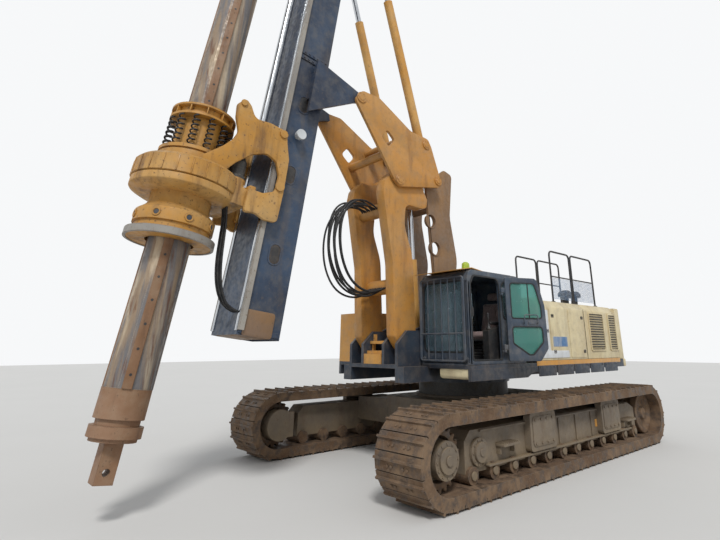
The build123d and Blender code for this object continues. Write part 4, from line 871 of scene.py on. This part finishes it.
def add_door():
    hinge = Vector((UPPER_HALF + DOOR_T + 0.015, SLEW_Y + POST_Y + 0.01, 0))
    turn = radians(DOOR_TURN)
    along = Vector((cos(turn), sin(turn), 0))
    out = Vector((sin(turn), -cos(turn), 0))
    plane = shift(*hinge) @ Matrix((
        (along.x, 0, out.x, 0), (along.y, 0, out.y, 0), (0, 1, 0, 0), (0, 0, 0, 1)))
    low, high = DOOR_Z
    leaf = [(0.04, low, 0.03), (DOOR_W - 0.16, low, 0.06), (DOOR_W, low + 0.2, 0.08),
            (DOOR_W - 0.01, high - 0.46, 0.25), (DOOR_W - 0.13, high, 0.1), (0.04, high, 0.03)]
    upper = [(0.13, low + 0.68, 0.04), (DOOR_W - 0.08, low + 0.68, 0.06), (DOOR_W - 0.09, high - 0.47, 0.2),
             (DOOR_W - 0.19, high - 0.09, 0.08), (0.13, high - 0.09, 0.05)]
    lower = [(0.13, low + 0.28, 0.05), (0.42, low + 0.1, 0.05), (0.5, low + 0.1, 0.05),
             (DOOR_W - 0.09, low + 0.3, 0.05), (DOOR_W - 0.09, low + 0.55, 0.06), (0.13, low + 0.55, 0.05)]
    door = Form()
    lift = plane @ shift(0, 0, 0.008)
    door.plate(leaf, lift, DOOR_T, (upper, lower), 0.01)
    for z in HINGE_Z:
        door.disc(0.024, 0.08, shift(hinge.x, hinge.y, z), 20)
        door.block((0.005, -0.03, z), (0.09, 0.0, z + 0.08), shift(*hinge) @ Matrix((
            (along.x, -out.x, 0, 0), (along.y, -out.y, 0, 0), (0, 0, 1, 0), (0, 0, 0, 1))))
    door.plate(box_rows(0.44, 0.56, low + 0.585, low + 0.64, 0.012), lift, DOOR_T + 0.012)
    foot, top = low + 0.6, low + 0.74
    loop = [(0.34, foot, 0.04), (0.34, foot, 0.1), (0.34, top, 0.1), (0.6, top, 0.1), (0.6, foot, 0.1),
            (0.6, foot, 0.04)]
    door.tube(bent(loop, 0.03), 0.009, plane)
    door.save("cab_door_leaf", "door", "dark_paint", cab_grey, ("cab_door",))
    panes = Form()
    seals = Form()
    for rows in (upper, lower):
        panes.plate(wider(rows, 0.012), plane @ shift(0, 0, 0.024), PANE_T, edge=0.002)
        seals.plate(wider(rows, 0.008), plane @ shift(0, 0, 0.044), 0.007, (wider(rows, -0.012),), 0.002)
    seals.plate(box_rows(0.47, 0.49, low + 0.69, high - 0.1), plane @ shift(0, 0, 0.03), PANE_T, edge=0.002)
    panes.save("door_panes", "door", "window_glass", teal_glass, ("door_glass",))
    seals.save("door_seals", "door", "dark_paint", seal)


def pad(name, lo, hi, place, cap, replaces=()):
    form = Form().block(lo, hi, Matrix.Identity(4), 0.03)
    piece = form.save(name, "upper", "seat_fabric", cloth, replaces, 180)
    remesh = piece.modifiers.new("voxels", "REMESH")
    remesh.mode = "VOXEL"
    remesh.voxel_size = 0.007
    bpy.context.view_layer.objects.active = piece
    bpy.ops.object.modifier_apply(modifier=remesh.name)
    start = [v.co.copy() for v in piece.data.vertices]
    puff = piece.modifiers.new("puff", "CLOTH")
    puff.settings.use_pressure = True
    puff.settings.uniform_pressure_force = 4
    puff.settings.effector_weights.gravity = 0
    for number in range(1, 21):
        bpy.context.scene.frame_set(number)
    bpy.ops.object.modifier_apply(modifier=puff.name)
    bpy.context.scene.frame_set(1)
    for vertex, old in zip(piece.data.vertices, start):
        step = vertex.co - old
        if step.length > cap:
            vertex.co = old + step.normalized() * cap
    mesh = piece.data
    mid = (Vector(lo) + Vector(hi)) / 2
    half = (Vector(hi) - Vector(lo)) / 2
    for vertex in mesh.vertices:
        u = (vertex.co.x - mid.x) / half.x
        v = (vertex.co.y - mid.y) / half.y
        seam = max(0.0, 1 - abs(abs(u) - 0.52) / 0.07)
        if vertex.co.z > mid.z and abs(v) < 0.9:
            vertex.co.z -= 0.012 * seam * seam
    for polygon in mesh.polygons:
        polygon.use_smooth = True
    mesh.transform(place)
    soft = piece.modifiers.new("smooth", "SUBSURF")
    soft.levels = soft.render_levels = 1


def add_seat():
    mid = (CAB_X[0] + CAB_X[1]) / 2
    pad("seat_cushion", (mid - 0.225, -1.03, 1.985), (mid + 0.225, -0.58, 2.07), MACHINE, 0.022, ("seat",))
    lean = MACHINE @ shift(mid, -0.56, 2.06) @ spin(radians(78), "X")
    pad("seat_back", (-0.215, 0.02, -0.06), (0.215, 0.56, 0.025), lean, 0.022)
    pad("seat_headrest", (-0.12, 0.6, -0.05), (0.12, 0.74, 0.02), lean, 0.015)
    base = Form()
    base.block((mid - 0.17, -0.95, 1.62), (mid + 0.17, -0.62, 1.66))
    for k in range(5):
        half = 0.15 - 0.006 * (k % 2)
        low = 1.66 + 0.052 * k
        base.block((mid - half, -0.93, low), (mid + half, -0.64, low + 0.046), edge=0.02)
    base.block((mid - 0.22, -1.01, 1.93), (mid + 0.22, -0.6, 1.965))
    for sign in (-1, 1):
        x = mid + sign * 0.28
        base.block((x - 0.035, -0.95, 2.2), (x + 0.035, -0.62, 2.25), edge=0.02)
        bar = bent([(x, -0.66, 2.21), (x, -0.6, 2.1), (mid + sign * 0.2, -0.58, 2.0)], 0.04)
        base.tube(bar, 0.014)
    base.save("seat_frame", "upper", "dark_paint", black_steel)
    levers = Form()
    for x in (mid - 0.34, mid + 0.34):
        levers.lathe([(0, 0), (0.05, 0), (0.045, 0.02, 0.005), (0.022, 0.06, 0.02), (0.012, 0.1), (0, 0.1)],
                     deck(2.12) @ shift(x, -1.05, 0), 20)
        levers.tube([(x, -1.05, 2.2), (x, -1.06, 2.3)], 0.009)
        levers.lathe([(0, 0), (0.018, 0, 0.005), (0.024, 0.05, 0.01), (0.027, 0.1, 0.012), (0, 0.11)],
                     deck(2.28) @ shift(x, -1.06, 0), 20)
    for x in (mid - 0.1, mid + 0.1):
        levers.tube(bent([(x, -1.45, 1.63), (x, -1.42, 2.0), (x, -1.32, 2.2)], 0.1), 0.011)
        levers.lathe([(0, 0), (0.02, 0, 0.006), (0.024, 0.06, 0.01), (0, 0.07)],
                     deck(2.19) @ shift(x, -1.32, 0), 20)
        levers.block((x - 0.06, -1.6, 1.64), (x + 0.06, -1.4, 1.665))
    levers.block((mid + 0.26, -1.62, 2.3), (mid + 0.46, -1.58, 2.45), edge=0.01)
    levers.save("cab_levers", "upper", "dark_paint", black_steel)



def add_hoods():
    low, top = HOOD_Z
    profile = [(0.6, low, 0), (UPPER_HALF, low, 0.012), (UPPER_HALF, 2.56, 0.06), (1.54, top, 0.06),
               (0.6, top, 0)]
    hood = Form().plate(profile, across(HOOD_Y[1]), HOOD_Y[1] - HOOD_Y[0], edge=0.012)
    hood.save("side_hood", "upper", "hood_paint", cream, ("left_hood",))
    panels = Form()
    face = side(UPPER_HALF)
    for y0, y1 in ((0.62, 1.29), (1.33, 1.95)):
        panels.plate(box_rows(y0, y1, low + 0.03, 2.54, 0.03), face, 0.008, edge=0.003)
    panels.save("hood_doors", "upper", "hood_paint", cream)
    white_area = [(0.1, 2.02, 0.02), (0.1, low + 0.04, 0.02), (1.24, low + 0.04, 0.02), (1.24, low + 0.17, 0.02),
                  (0.56, low + 0.17, 0.04), (0.56, 2.5, 0.02), (0.1, 2.5, 0.02)]
    front = Form().plate(white_area, face, 0.012, edge=0.003)
    front.save("hood_front_panel", "upper", "hood_paint", white)
    plates = Form()
    plates.plate(box_rows(0.16, 0.46, 2.28, 2.44, 0.012), side(UPPER_HALF + 0.012), 0.004, edge=0.001)
    plates.plate(box_rows(0.68, 1.2, 1.84, 2.02, 0.012), side(UPPER_HALF + 0.008), 0.004, edge=0.001)
    plates.save("blank_plates", "upper", "mast_blue", plate_blue)
    trim = Form()
    for y, z in ((0.5, 2.12), (0.72, 2.4), (1.88, 2.4), (0.72, 1.75), (1.88, 1.75), (2.7, 1.78), (3.42, 1.78)):
        rim = box_rows(y - 0.045, y + 0.045, z - 0.03, z + 0.03, 0.012)
        recess = box_rows(y - 0.034, y + 0.034, z - 0.02, z + 0.02, 0.008)
        latch = box_rows(y - 0.03, y + 0.03, z - 0.012, z + 0.012, 0.006)
        trim.plate(rim, side(UPPER_HALF + 0.006), 0.008, (recess,), 0.002)
        trim.plate(latch, side(UPPER_HALF + 0.008), 0.01, edge=0.002)
    for y in (0.05, 2.0):
        trim.plate(box_rows(y - 0.004, y + 0.004, low + 0.01, 2.58), face, 0.004, edge=0.001)
    trim.save("hood_handles", "upper", "dark_paint", black_steel)

    rear = Form()
    both = [(-x, z, r) for x, z, r in profile[1:4]] + profile[3:0:-1]
    rear.plate(both, across(REAR_Y), REAR_Y - HOOD_Y[1] - 0.01, edge=0.012)
    rear.save("rear_hood", "upper", "hood_paint", cream, ("rear_housing",))
    slats = Form()
    # The black sheet behind each louvre's slats is painted shade: the dark of the space behind the grille
    louvre_shade = Form()
    for sign in (-1, 1):
        plane = out_of(sign, UPPER_HALF)
        for y, w in LOUVRES:
            w = min(w, REAR_Y - 0.05 - y)
            slats.plate(box_rows(y - 0.03, y + w + 0.03, 1.75, 2.53, 0.04), plane, 0.02,
                        (box_rows(y, y + w, 1.78, 2.5, 0.03),), 0.004)
            louvre_shade.plate(box_rows(y, y + w, 1.78, 2.5, 0.02), plane, 0.003, edge=0.001)
            for k in range(SLAT_COUNT):
                z = 1.795 + k * 0.0505
                slat = plane @ shift(0, z, 0.004) @ spin(radians(32), "X")
                slats.plate(box_rows(y, y + w, 0, 0.03), slat, 0.004, edge=0.001)
    slats.save("louvres", "upper", "hood_paint", cream)
    louvre_shade.save("louvre_painted_shade", "upper", "dark_paint", black_steel)

    skirt = Form()
    for y in (0.1, 0.75, 1.4, 2.05, 2.7):
        leaf = [(y, SKIRT_LOW, 0.02), (y + 0.6, SKIRT_LOW, 0.02), (y + 0.6, 1.52, 0.01), (y, 1.52, 0.01)]
        skirt.plate(leaf, side(UPPER_HALF), 0.01, edge=0.003)
        for at in (y + 0.06, y + 0.54):
            skirt.bolt(side(UPPER_HALF + 0.01) @ shift(at, 1.49, 0), 0.014, 0.01)
    skirt.save("skirt", "upper", "dark_paint", dark)


def add_counterweight():
    block = Form()
    for y, r, z, t, edge in ((REAR_Y, 0.24, DECK_TOP, 1.1, 0.03), (3.65, 0.2, 1.42, 0.16, 0.02)):
        rows = [(-UPPER_HALF, y, 0), (UPPER_HALF, y, 0), (UPPER_HALF, TAIL_Y, r), (-UPPER_HALF, TAIL_Y, r)]
        block.plate(rows, deck(z), t, edge=edge)
    for x in (-0.9, 0.9):
        ends = (x - 0.07, x + 0.07)
        eye = [(ends[0], 3.68, 2.66), (ends[0], 3.68, 2.76), (ends[1], 3.68, 2.76), (ends[1], 3.68, 2.66)]
        block.tube(bent(eye, 0.05), 0.018)
    block.save("counterweight_cast", "upper", "hood_paint", cream, ("counterweight",))
    lines = Form()
    for z in (1.95, 2.3):
        lines.plate(box_rows(-1.2, 1.2, z, z + 0.012), across(TAIL_Y + 0.003), 0.006, edge=0.001)
    lines.save("counterweight_seams", "upper", "dark_paint", dark)


def add_railings():
    rails = Form()
    for x in (0.7, 1.5):
        for y0, y1 in ((1.1, 1.9), (1.96, 2.9)):
            loop = bent([(x, y0, 2.69), (x, y0, 3.715), (x, y1, 3.715), (x, y1, 2.69)], 0.09)
            rails.tube(loop, 0.019)
            rails.tube([(x, y0, 3.2), (x, y1, 3.2)], 0.014)
            for y in (y0, y1):
                rails.disc(0.045, 0.012, deck(2.69) @ shift(x, y, 0), 20)
    rails.save("hood_rails", "upper", "dark_paint", black_steel, ("railings",))
    mesh = Form()
    for y0, y1 in ((1.14, 1.86), (2.0, 2.86)):
        for k in range(15):
            z = 2.76 + 0.029 * k
            mesh.tube([(1.5, y0, z), (1.5, y1, z)], 0.0025, sides=4)
        for k in range(int((y1 - y0) / 0.03) + 1):
            y = y0 + 0.03 * k
            mesh.tube([(1.5, y, 2.75), (1.5, y, 3.18)], 0.0025, sides=4)
    mesh.save("rail_mesh", "upper", "mast_blue", plate_blue)
    caps = Form()
    for y in (2.25, 2.65):
        caps.lathe([(0, 0), (0.07, 0), (0.07, 0.2, 0.01), (0.15, 0.2, 0.01), (0.15, 0.27, 0.03), (0.1, 0.33, 0.05),
                    (0, 0.33)], deck(2.69) @ shift(1.15, y, 0))
    caps.save("air_domes", "upper", "black_steel", black_steel, ("air_caps",))


def legs(form, rows, spans, edge, holes=()):
    for x0, x1 in spans:
        form.plate(rows, side(x0), x1 - x0, holes, edge)


def add_boom():
    rows = near(BOOM_FOOT, (-0.165, -0.165, 0.15), (-0.345, 0.06, 0.09), (-0.39, 1.25, 0.7), (-0.52, 1.93, 0.7))
    rows += near(BOOM_TIP, (-0.32, -0.25, 0.3), (-0.28, -0.05, 0.09), (-0.1, 0.145, 0.11), (0.11, 0.13, 0.15),
                 (0.3, 0.19, 0.09), (0.39, 0.31, 0.06), (0.59, 0.29, 0.06), (0.68, 0.0, 0.2))
    rows += near(LUFF_EYE, (0.09, 0.01, 0.07), (0.06, -0.15, 0.06), (-0.08, -0.19, 0.06))
    rows += near(BOOM_TIP, (0.24, -0.4, 0.11), (0.2, -0.8, 0.5))
    rows += near(BOOM_FOOT, (0.09, 1.45, 0.9), (0.16, 0.06, 0.2), (0.165, -0.165, 0.15))
    boom = Form()
    legs(boom, rows, ((-LEG_X - LEG_W, -LEG_X), (LEG_X, LEG_X + LEG_W)), 0.022)
    for y, z in ((BOOM_FOOT[0] - 0.13, BOOM_FOOT[1] + 0.9), (BOOM_TIP[0] - 0.05, BOOM_TIP[1] - 0.5)):
        boom.disc(0.13, 2 * LEG_X, side(-LEG_X) @ shift(y, z, 0), edge=0.001)
    lug = [(BOOM_TIP[0] - 0.13, BOOM_TIP[1] - 0.58, 0.1), (LUFF_EYE[0] + 0.02, LUFF_EYE[1] - 0.1, 0.08),
           (LUFF_EYE[0] + 0.09, LUFF_EYE[1] + 0.02, 0.08), (LUFF_EYE[0] - 0.02, LUFF_EYE[1] + 0.09, 0.08),
           (BOOM_TIP[0] - 0.08, BOOM_TIP[1] - 0.39, 0.1), (BOOM_TIP[0] - 0.17, BOOM_TIP[1] - 0.47, 0.08)]
    for x in (-0.13, 0.13):
        for off in (-0.108, 0.068):
            boom.plate(lug, side(x + off), 0.04)
    boom.save("boom_legs", "boom_body", "yellow_paint", boom_yellow, ("boom",))
    pins = Form()
    for point, r in ((BOOM_FOOT, 0.1), (BOOM_TIP, 0.085)):
        for sign in (-1, 1):
            cap = out_of(sign, LEG_X + LEG_W) @ shift(*point, 0)
            pins.disc(r, 0.014, cap)
            pins.ring_of_bolts(cap @ shift(0, 0, 0.014), r * 0.68, 6, 0.011, 0.007)
    pins.save("boom_pin_caps", "boom_body", "black_steel", iron)


def add_link():
    rows = near(LINK_FOOT, (-0.112, -0.112, 0.105), (-0.125, 0.15, 0.3), (-0.25, 0.8, 0.6))
    rows += near(LINK_TIP, (-0.145, -0.08, 0.15), (-0.135, 0.1, 0.09), (0.11, 0.15, 0.25), (0.4, 0.38, 0.08),
                 (0.64, 0.32, 0.09), (0.54, -0.59, 0.5))
    rows += near(LINK_FOOT, (0.42, 1.3, 0.6), (0.33, 0.85, 0.4), (0.125, 0.12, 0.2), (0.112, -0.112, 0.105))
    hole_at = [(LINK_TIP[0] - 0.03, LINK_TIP[1] - 0.76), (LINK_TIP[0] + 0.08, LINK_TIP[1] - 1.28)]
    holes = [ring_rows(y, z, 0.125) for y, z in hole_at]
    link = Form()
    legs(link, rows, ((-LINK_X - 0.06, -LINK_X), (LINK_X, LINK_X + 0.06)), 0.01, holes)
    at = (LINK_TIP[0] + 0.22, LINK_TIP[1] - 0.42, 0)
    link.disc(0.09, 2 * LINK_X, side(-LINK_X) @ shift(*at), edge=0.001)
    for sign in (-1, 1):
        for y, z in hole_at:
            link.lathe([(0.122, 0), (0.145, 0), (0.145, 0.014), (0.122, 0.014)],
                       out_of(sign, LINK_X + 0.06) @ shift(y, z, 0), 36)
    link.save("link_legs", "link_body", "yellow_paint", shaded_yellow, ("rear_link",))


def add_triangle():
    rows = near(MAST_PIVOT, (-0.13, -0.06, 0.1), (0.02, 0.15, 0.12), (0.42, 0.15, 0.15))
    rows += near(TILT_EYE, (-0.42, 0.17, 0.2), (0.06, 0.14, 0.1), (0.15, 0.0, 0.1))
    rows += near(LINK_TIP, (0.12, -0.06, 0.1), (0.0, -0.13, 0.08))
    rows += near(BOOM_TIP, (0.0, -0.13, 0.12), (-0.13, -0.02, 0.1))
    turn = radians(-40)
    slot = []
    for u, v in ((-0.12, -0.115), (0.12, -0.115), (0.12, 0.115), (-0.12, 0.115)):
        slot.append((-2.56 + u * cos(turn) - v * sin(turn), 5.42 + u * sin(turn) + v * cos(turn), 0.06))
    plates = Form()
    legs(plates, rows, ((-TRI_X - 0.06, -TRI_X), (TRI_X, TRI_X + 0.06)), 0.008, (slot,))
    for y, z in ((-2.48, 5.18), (-2.08, 5.56)):
        plates.disc(0.08, 2 * TRI_X, side(-TRI_X) @ shift(y, z, 0), edge=0.001)
    for sign in (-1, 1):
        for point, r in ((MAST_PIVOT, 0.1), (TILT_EYE, 0.09), (LINK_TIP, 0.09), (BOOM_TIP, 0.1)):
            boss = out_of(sign, TRI_X + 0.06) @ shift(*point, 0)
            plates.disc(r, 0.02, boss).disc(r * 0.6, 0.028, boss, 28)
            plates.ring_of_bolts(boss @ shift(0, 0, 0.018), r * 0.78, 6, 0.009, 0.007)
    for point, r, x0 in ((LINK_TIP, 0.05, 0.34), (TILT_EYE, 0.045, 0.35), (BOOM_TIP, 0.05, 0.53)):
        for x in (-TRI_X, x0):
            plates.disc(r, TRI_X - x0, side(x) @ shift(*point, 0), 28, 0.001)
    plates.save("triangle_plates", "triangle_body", "yellow_paint", boom_yellow, ("triangle",))


def add_carriage():
    rows = near(
        (0, DRIVE_H),
        (-0.11, GEAR_TOP, 0), (-0.095, 0.3, 0.04), (0.01, 0.395, 0.15), (0.18, 0.57, 0.3), (0.29, 0.72, 0.15),
        (0.335, 0.85, 0.1), (0.25, 1.06, 0.15), (0.225, 1.26, 0.09), (0.33, 1.4, 0.05), (0.43, 1.32, 0.06),
        (0.53, 1.155, 0.12), (0.77, 1.2, 0.3), (1.06, 1.18, 0.06), (1.1, 1.0, 0.06), (1.18, 0.75, 0.2),
        (1.195, 0.25, 0.2), (1.18, -0.25, 0.07), (0.98, -0.26, 0.06), (0.83, -0.21, 0.08), (0.66, -0.24, 0.04),
        (0.66, 0.11, 0.04), (0.88, 0.11, 0.1), (1.06, 0.2, 0.1), (1.07, 0.45, 0.12), (0.98, 0.65, 0.11),
        (0.81, 0.705, 0.12), (0.6, 0.6, 0.2), (0.4, 0.395, 0.2), (0.285, GEAR_TOP, 0),
    )
    arms = Form()
    for x in (-ARM_X - 0.06, ARM_X):
        arms.plate(rows, mast_side(x), 0.06, edge=0.012)
        out = x - 0.024 if x < 0 else x + 0.06
        for back, h, r in ((1.11, 0.29, 0.075), (1.01, 1.11, 0.065), (0.31, 1.31, 0.05)):
            boss = mast_side(out) @ shift(back, DRIVE_H + h, 0)
            arms.disc(r, 0.024, boss)
    for low, high in ((-0.08, 0.18), (0.9, 1.16)):
        beam = box_rows(0.69, 0.79, DRIVE_H + low, DRIVE_H + high, 0.02)
        arms.plate(beam, mast_side(-ARM_X), 2 * ARM_X)
    for x in (MAST_HALF + 0.005, -MAST_HALF - 0.085):
        for h in (DRIVE_H, DRIVE_H + 0.95):
            arms.plate(box_rows(0.96, 1.11, h - 0.12, h + 0.12, 0.02), mast_side(x), 0.08)
    arms.save("carriage_arms", "carriage_body", "yellow_paint", drive_yellow, ("carriage",))


def add_drive():
    place = MAST @ shift(0, 0, DRIVE_H)
    gear = Form()
    gear.lathe([(0.38, -0.19), (0.57, -0.19), (0.67, -0.14, 0.02), (0.67, -0.045, 0.01), (0.64, -0.035),
                (GEAR_R, -0.025), (GEAR_R, 0.195), (0.645, GEAR_TOP), (0.38, GEAR_TOP)], place, 72)
    back = near((0, DRIVE_H), (0.42, -0.14, 0), (0.5, -0.15, 0.05), (0.71, -0.15, 0.02), (0.71, 0.09, 0.05),
                (0.42, 0.18, 0))
    gear.plate(back, mast_side(-0.46), 0.92)
    for at in MOTOR_AT:
        gear.disc(0.138, GEAR_TOP + 0.15, place @ shift(*at) @ shift(0, 0, -0.15))
    for turn in turns(CASING_RIBS):
        rib = place @ turn @ shift(GEAR_R - 0.001, 0, 0)
        gear.block((0, -0.008, -0.02), (0.007, 0.008, 0.19), rib, 0.002)
        gear.bolt(place @ turn @ shift(0.6, 0, GEAR_TOP - 0.002), 0.017, 0.016)
        gear.bolt(place @ turn @ shift(0.655, 0, -0.045) @ spin(pi, "X"), 0.011, 0.008)
    gear.save("gear_casing", "carriage_body", "yellow_paint", drive_yellow, ("gearbox",))
    motors = Form()
    for at in MOTOR_AT:
        motors.lathe([(0, GEAR_TOP), (0.134, GEAR_TOP), (0.134, GEAR_TOP + 0.04), (0.11, GEAR_TOP + 0.055),
                      (0.11, GEAR_TOP + 0.26, 0.03), (0.07, GEAR_TOP + 0.35, 0.04), (0, GEAR_TOP + 0.35)],
                     place @ shift(*at))
        motors.ring_of_bolts(place @ shift(*at) @ shift(0, 0, GEAR_TOP + 0.04), 0.118, 8, 0.011, 0.01)
    motors.save("motor_cases", "carriage_body", "engine_iron", iron, ("drive_motors",))

    sleeve = Form()
    sleeve.lathe([(SLEEVE_R, -0.79), (0.55, -0.79), (0.55, -0.71), (0.47, -0.70), (0.47, -0.62), (0.5, -0.61),
                  (0.5, -0.45, 0.012), (0.42, -0.38, 0.03), (0.39, -0.33), (0.39, 0.3), (0.455, 0.3),
                  (0.455, 0.385), (0.425, 0.392), (0.425, 0.408), (0.46, 0.41), (0.46, 0.46), (0.33, 0.46),
                  (0.33, 0.93), (0.44, 0.93), (0.44, 0.965), (0.38, 0.97), (0.38, 1.065), (0.44, 1.07),
                  (0.44, 1.1), (SLEEVE_R, 1.1)], place, 72)
    for turn in turns(SPRING_COUNT, 0.5):
        sleeve.block((0.37, -0.009, 0.965), (0.436, 0.009, 1.07), place @ turn, 0.003)
    for turn in turns(POCKET_COUNT):
        lug = place @ turn @ shift(0.5, 0, -0.53) @ spin(pi / 2, "Y")
        sleeve.lathe(POCKET_RIM, lug, 28)
    sleeve.save("sleeve_turned", "rotor", "yellow_paint", drive_yellow, ("drive_sleeve",))
    pocket_shade_and_bolts = Form()
    # The dark disc at the floor of each pocket is painted shade in the pocket's hollow; the ring of dark bolts is
    # in the same piece
    for turn in turns(POCKET_COUNT):
        lug = place @ turn @ shift(0.5, 0, -0.53) @ spin(pi / 2, "Y")
        pocket_shade_and_bolts.disc(0.034, 0.004, lug, 24)
    for turn in turns(2 * POCKET_COUNT):
        pocket_shade_and_bolts.bolt(place @ turn @ shift(0.505, 0, -0.712), 0.016, 0.014)
    pocket_shade_and_bolts.save("sleeve_pocket_shade_and_bolts", "rotor", "dark_paint", dark)
    flange = Form().lathe([(0.52, -0.793), (0.553, -0.793), (0.553, -0.715), (0.5, -0.708), (0.5, -0.705),
                           (0.556, -0.706), (0.556, -0.797), (0.52, -0.797)], place, 64)
    flange.save("sleeve_flange", "rotor", "black_steel", flange_grey)
    springs = Form()
    steps = 20
    for k in range(SPRING_COUNT):
        turn = 2 * pi * k / SPRING_COUNT
        centre = Vector((0.396 * cos(turn), 0.396 * sin(turn), 0))
        route = []
        for i in range(SPRING_COILS * steps + 1):
            t = i / (SPRING_COILS * steps)
            a = 2 * pi * SPRING_COILS * t
            route.append(centre + Vector((0.043 * cos(a), 0.043 * sin(a), 0.472 + 0.446 * t)))
        springs.tube(route, 0.011, place, 8)
    springs.save("springs", "rotor", "black_steel", black_steel, ("spring_pack",), 180)


def add_kelly():
    low, high = KELLY_H
    keys = Form()
    # The thin black discs on the keys are painted shade, standing in for the depth of the drilled holes
    holes = Form()
    for turn in KEY_TURNS:
        plane = MAST @ spin(radians(turn))
        keys.block((KELLY_R - 0.01, -0.055, low), (KELLY_R + 0.036, 0.055, high), plane, 0.006)
        for k in range(int((high - low) / HOLE_STEP)):
            spot = plane @ shift(KELLY_R + 0.036, 0, low + 0.15 + HOLE_STEP * k) @ spin(pi / 2, "Y")
            holes.lathe([(0, 0), (0.016, 0), (0.016, 0.002), (0, 0.002)], spot, 16)
    keys.save("kelly_keys", "kelly_body", "worn_steel", key_rust)
    holes.save("kelly_key_hole_shade", "kelly_body", "black_steel", black_steel)


def add_mast_trim():
    rails = Form()
    for x in (-MAST_HALF - 0.004, MAST_HALF - 0.05):
        strip = box_rows(MAST_FRONT - 0.012, MAST_FRONT + 0.006, MAST_FOOT + 0.05, MAST_HEAD - 0.3, 0.003)
        rails.plate(strip, mast_side(x), 0.054, edge=0.002)
    rails.save("mast_rails", "mast_body", "bright_steel", chrome)
    # The black oval inside each rim is painted shade: the dark inside of the hollow mast seen through its side
    # openings
    opening_shade = Form()
    edges = Form()
    for sign in (-1, 1):
        plane = MAST @ Matrix.Scale(sign, 4, (1, 0, 0)) @ shift(MAST_HALF, 0, 0) @ ON_SIDE
        h = 3.3
        while h < MAST_HEAD - 0.8:
            if abs(h - MAST_JOINT) > 0.35:
                oval = box_rows(MAST_FRONT + 0.24, MAST_FRONT + 0.4, h - 0.14, h + 0.14, 0.075)
                rim = box_rows(MAST_FRONT + 0.22, MAST_FRONT + 0.42, h - 0.16, h + 0.16, 0.09)
                opening_shade.plate(oval, plane, 0.003, edge=0.001)
                edges.plate(rim, plane, 0.008, (oval,), 0.002)
            h += 1.25
        for h in (MAST_FOOT + 0.06, MAST_JOINT - 0.05, MAST_JOINT + 0.05):
            flange = box_rows(MAST_FRONT + 0.01, MAST_FRONT + MAST_DEPTH - 0.01, h - 0.035, h + 0.035, 0.01)
            edges.plate(flange, plane, 0.02)
        for k in range(7):
            for h in (MAST_JOINT - 0.05, MAST_JOINT + 0.05):
                edges.bolt(plane @ shift(MAST_FRONT + 0.07 + 0.083 * k, h, 0.02), 0.018, 0.014)
    opening_shade.save("mast_opening_shade", "mast_body", "black_steel", black_steel)
    edges.save("mast_edges", "mast_body", "mast_blue", navy)
    block = box_rows(MAST_FRONT + 0.06, MAST_FRONT + 0.5, MAST_FOOT - 0.001, MAST_FOOT + 0.34, 0.04)
    foot = Form().plate(block, mast_side(-MAST_HALF - 0.03), 2 * MAST_HALF + 0.06)
    foot.save("mast_foot_block", "mast_body", "yellow_paint", shaded_yellow)


def add_underdeck():
    # Boxes below the cab's front edge
    box = Form().plate(box_rows(-1.78, -1.25, 1.36, 1.55, 0.06), side(1.0), 0.6, edge=0.02)
    box.save("front_box", "upper", "hood_paint", cream)
    tool = Form()
    tool.plate(box_rows(-1.2, -0.3, 1.34, 1.56, 0.03), side(1.15), 0.46, edge=0.015)
    for y in (-1.14, -0.86, -0.58):
        tool.plate(box_rows(y, y + 0.22, 1.38, 1.52, 0.02), side(1.61), 0.02,
                   (box_rows(y + 0.02, y + 0.2, 1.4, 1.5, 0.015),))
    tool.save("tool_box", "upper", "dark_paint", dark)


def add_rope():
    # The kelly rope: up from the swivel, over the front sheave and across to the rear one
    r = SHEAVE_GROOVE
    rows = [(0.0, 16.32), (0.0, 17.6), (0.0, 19.0), (0.0, 20.3)]
    for k in range(1, 9):
        turn = pi - pi / 2 * k / 8
        rows.append((r + r * cos(turn), 20.3 + r * sin(turn)))
    for k in range(9):
        turn = pi / 2 - pi * 0.8 * k / 8
        rows.append((REAR_SHEAVE[0] + r * cos(turn), REAR_SHEAVE[1] + r * sin(turn)))
    route = [(0, back, h) for back, h in rows]
    rope = Form().tube(route, 0.014, MAST, 12)
    piece = rope.save("kelly_rope", None, "worn_steel", rope_steel, sharp=180)
    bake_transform(piece)


def add_small_parts():
    # Ochre band over the skirt and work lamp on the mast
    rows = box_rows(HOOD_Y[0], REAR_Y, 1.515, HOOD_Z[0], 0.004)
    band = Form().plate(rows, side(UPPER_HALF), 0.006, edge=0.002)
    band.save("hood_band", "upper", "hood_paint", hood_yellow)
    lamp = Form()
    stand = MAST @ shift(MAST_HALF, MAST_FRONT + 0.3, 5.2) @ spin(pi / 2, "Y")
    lamp.disc(0.035, 0.09, stand)
    lamp.lathe([(0, 0.06), (0.07, 0.06, 0.01), (0.085, 0.15, 0.01), (0.08, 0.16), (0, 0.14)], stand)
    lamp.save("mast_lamp", "mast_body", "dark_paint", white)


add_camera()
add_hoses()
add_stage()
dress_nodes()
add_tracks()
add_frame_trim()
add_cab()
add_door()
add_seat()
add_hoods()
add_counterweight()
add_railings()
add_boom()
add_link()
add_triangle()
add_carriage()
add_drive()
add_kelly()
add_mast_trim()
add_underdeck()
add_rope()
add_small_parts()
